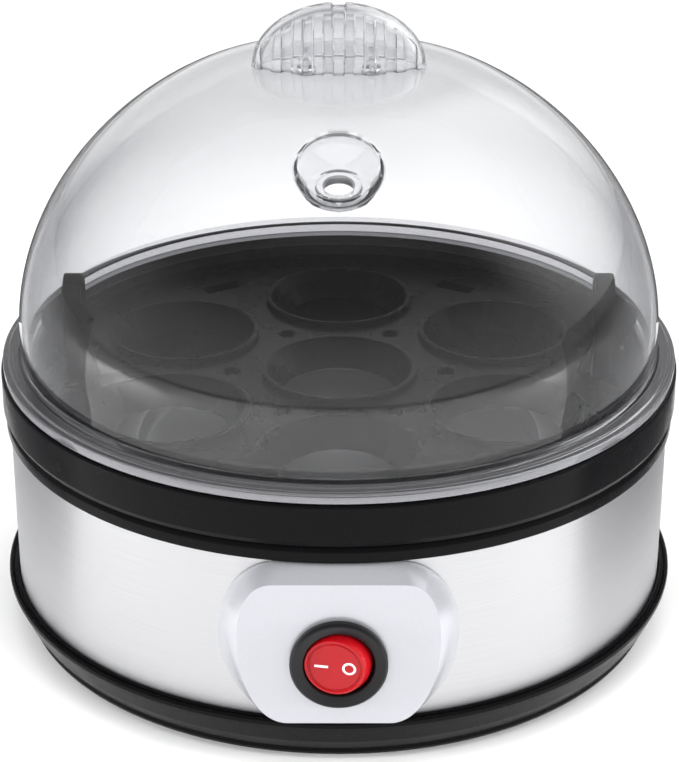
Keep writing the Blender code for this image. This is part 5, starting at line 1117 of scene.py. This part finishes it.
# %% Boards and card for the reflections
def board(name, size_mm, place_mm, finish):
    """A thin board for the reflections only."""
    shape = bmesh.new()
    stand = Matrix.Translation(Vector(place_mm) * MM)
    bmesh.ops.create_cube(shape, size=MM, matrix=stand @ Matrix.Diagonal((*size_mm, 1.0)))
    mesh = bpy.data.meshes.new(name)
    shape.to_mesh(mesh)
    shape.free()
    card = show(name, mesh, finish)
    card.visible_camera = False
    card.visible_transmission = False
    card.visible_diffuse = False
    card.visible_shadow = False
    return card


for name, hex_colour, size_mm, place_mm in (
        ("left board", "#A6A6A8", (2, 175, 110), (-152, 42.5, 55)),
        ("right board", "#868688", (2, 202, 110), (148, 29, 55)),
        ("rear card", "#2C2C2D", (1400, 1000, 1), (0, 680, 1))):
    felt, tree, shader, place = start_finish(f"felt of the {name}", hex_colour, 0.9)
    roughness_cloud(tree, shader, place, 20.0, 0.85, 0.95)
    board(name, size_mm, place_mm, felt)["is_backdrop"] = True

# %% [markdown]
# The room around the boiler is drawn in the world shader, by direction. It is bright in front and directly behind,
# dim at the rear left and right, and darker towards the top, as flags and soft boxes would make it.

# %% Room
world = bpy.data.worlds.new("studio")
bpy.context.scene.world = world
world.use_nodes = True
tree = world.node_tree
tree.nodes.clear()
way = add_node(tree, "ShaderNodeTexCoord").outputs["Generated"]
parts = add_node(tree, "ShaderNodeSeparateXYZ", {"Vector": way})
level_way = add_node(tree, "ShaderNodeCombineXYZ", {"X": parts.outputs["X"], "Y": parts.outputs["Y"]})
unit_way = add_node(tree, "ShaderNodeVectorMath", {0: level_way.outputs[0]}, operation="NORMALIZE")
ahead = add_node(tree, "ShaderNodeVectorMath", {0: unit_way.outputs[0]}, operation="DOT_PRODUCT", in_1=(0, -1, 0))
ahead_span = add_node(tree, "ShaderNodeMapRange", {"Value": ahead.outputs["Value"]}, in_1=-1.0, in_2=1.0)
round_room = add_node(tree, "ShaderNodeValToRGB", {"Fac": ahead_span.outputs["Result"]})
ramp = round_room.color_ramp
ramp.interpolation = "B_SPLINE"
for spot, tone in ((0.0, 0.95), (0.065, 0.9), (0.10, 0.25), (0.16, 0.16), (0.30, 0.35), (0.50, 0.8), (1.0, 0.95)):
    element = ramp.elements.new(spot) if spot not in (0.0, 1.0) else ramp.elements[0 if spot == 0.0 else -1]
    element.color = (tone, tone, tone * 1.01, 1)
high = add_node(tree, "ShaderNodeValToRGB", {"Fac": parts.outputs["Z"]})
ramp = high.color_ramp
ramp.interpolation = "B_SPLINE"
for spot, tone in ((0.0, 1.0), (0.15, 0.85), (0.40, 0.6), (0.6, 0.2), (0.85, 0.2), (1.0, 0.35)):
    element = ramp.elements.new(spot) if spot not in (0.0, 1.0) else ramp.elements[0 if spot == 0.0 else -1]
    element.color = (tone, tone, tone, 1)
tones = add_node(tree, "ShaderNodeVectorMath", {0: round_room.outputs["Color"], 1: high.outputs["Color"]},
                 operation="MULTIPLY")
to_box = add_node(tree, "ShaderNodeVectorMath", {0: way}, operation="DOT_PRODUCT", in_1=Vector((0.72, 0.45, 0.53)))
box_glow = add_node(tree, "ShaderNodeMapRange", {"Value": to_box.outputs["Value"]}, interpolation_type="SMOOTHSTEP",
                    in_1=0.70, in_2=0.97, in_4=0.9)
with_box = add_node(tree, "ShaderNodeVectorMath", {0: tones.outputs[0], 1: box_glow.outputs["Result"]})
room = add_node(tree, "ShaderNodeBackground", {"Color": with_box.outputs[0]}, in_Strength=1.1)
backdrop = add_node(tree, "ShaderNodeBackground", in_Color=linear("#FFFFFF"), in_Strength=1.0)
ray = add_node(tree, "ShaderNodeLightPath")
mixed = add_node(tree, "ShaderNodeMixShader", {0: ray.outputs["Is Camera Ray"], 1: room.outputs[0],
                                               2: backdrop.outputs[0]})
out = add_node(tree, "ShaderNodeOutputWorld")
tree.links.new(mixed.outputs[0], out.inputs["Surface"])
bpy.context.scene.view_settings.view_transform = "Standard"

# %% [markdown]
# ## Sizes
# The finished model's box, leaving out the floor, the boards and the card, is printed in millimetres.
# The finished model has to stay in the imported model's box.

# %% Print the size of the box
low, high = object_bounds()
print("visual box", [round((b - a) * 1000, 1) for a, b in zip(low, high)], "mm")
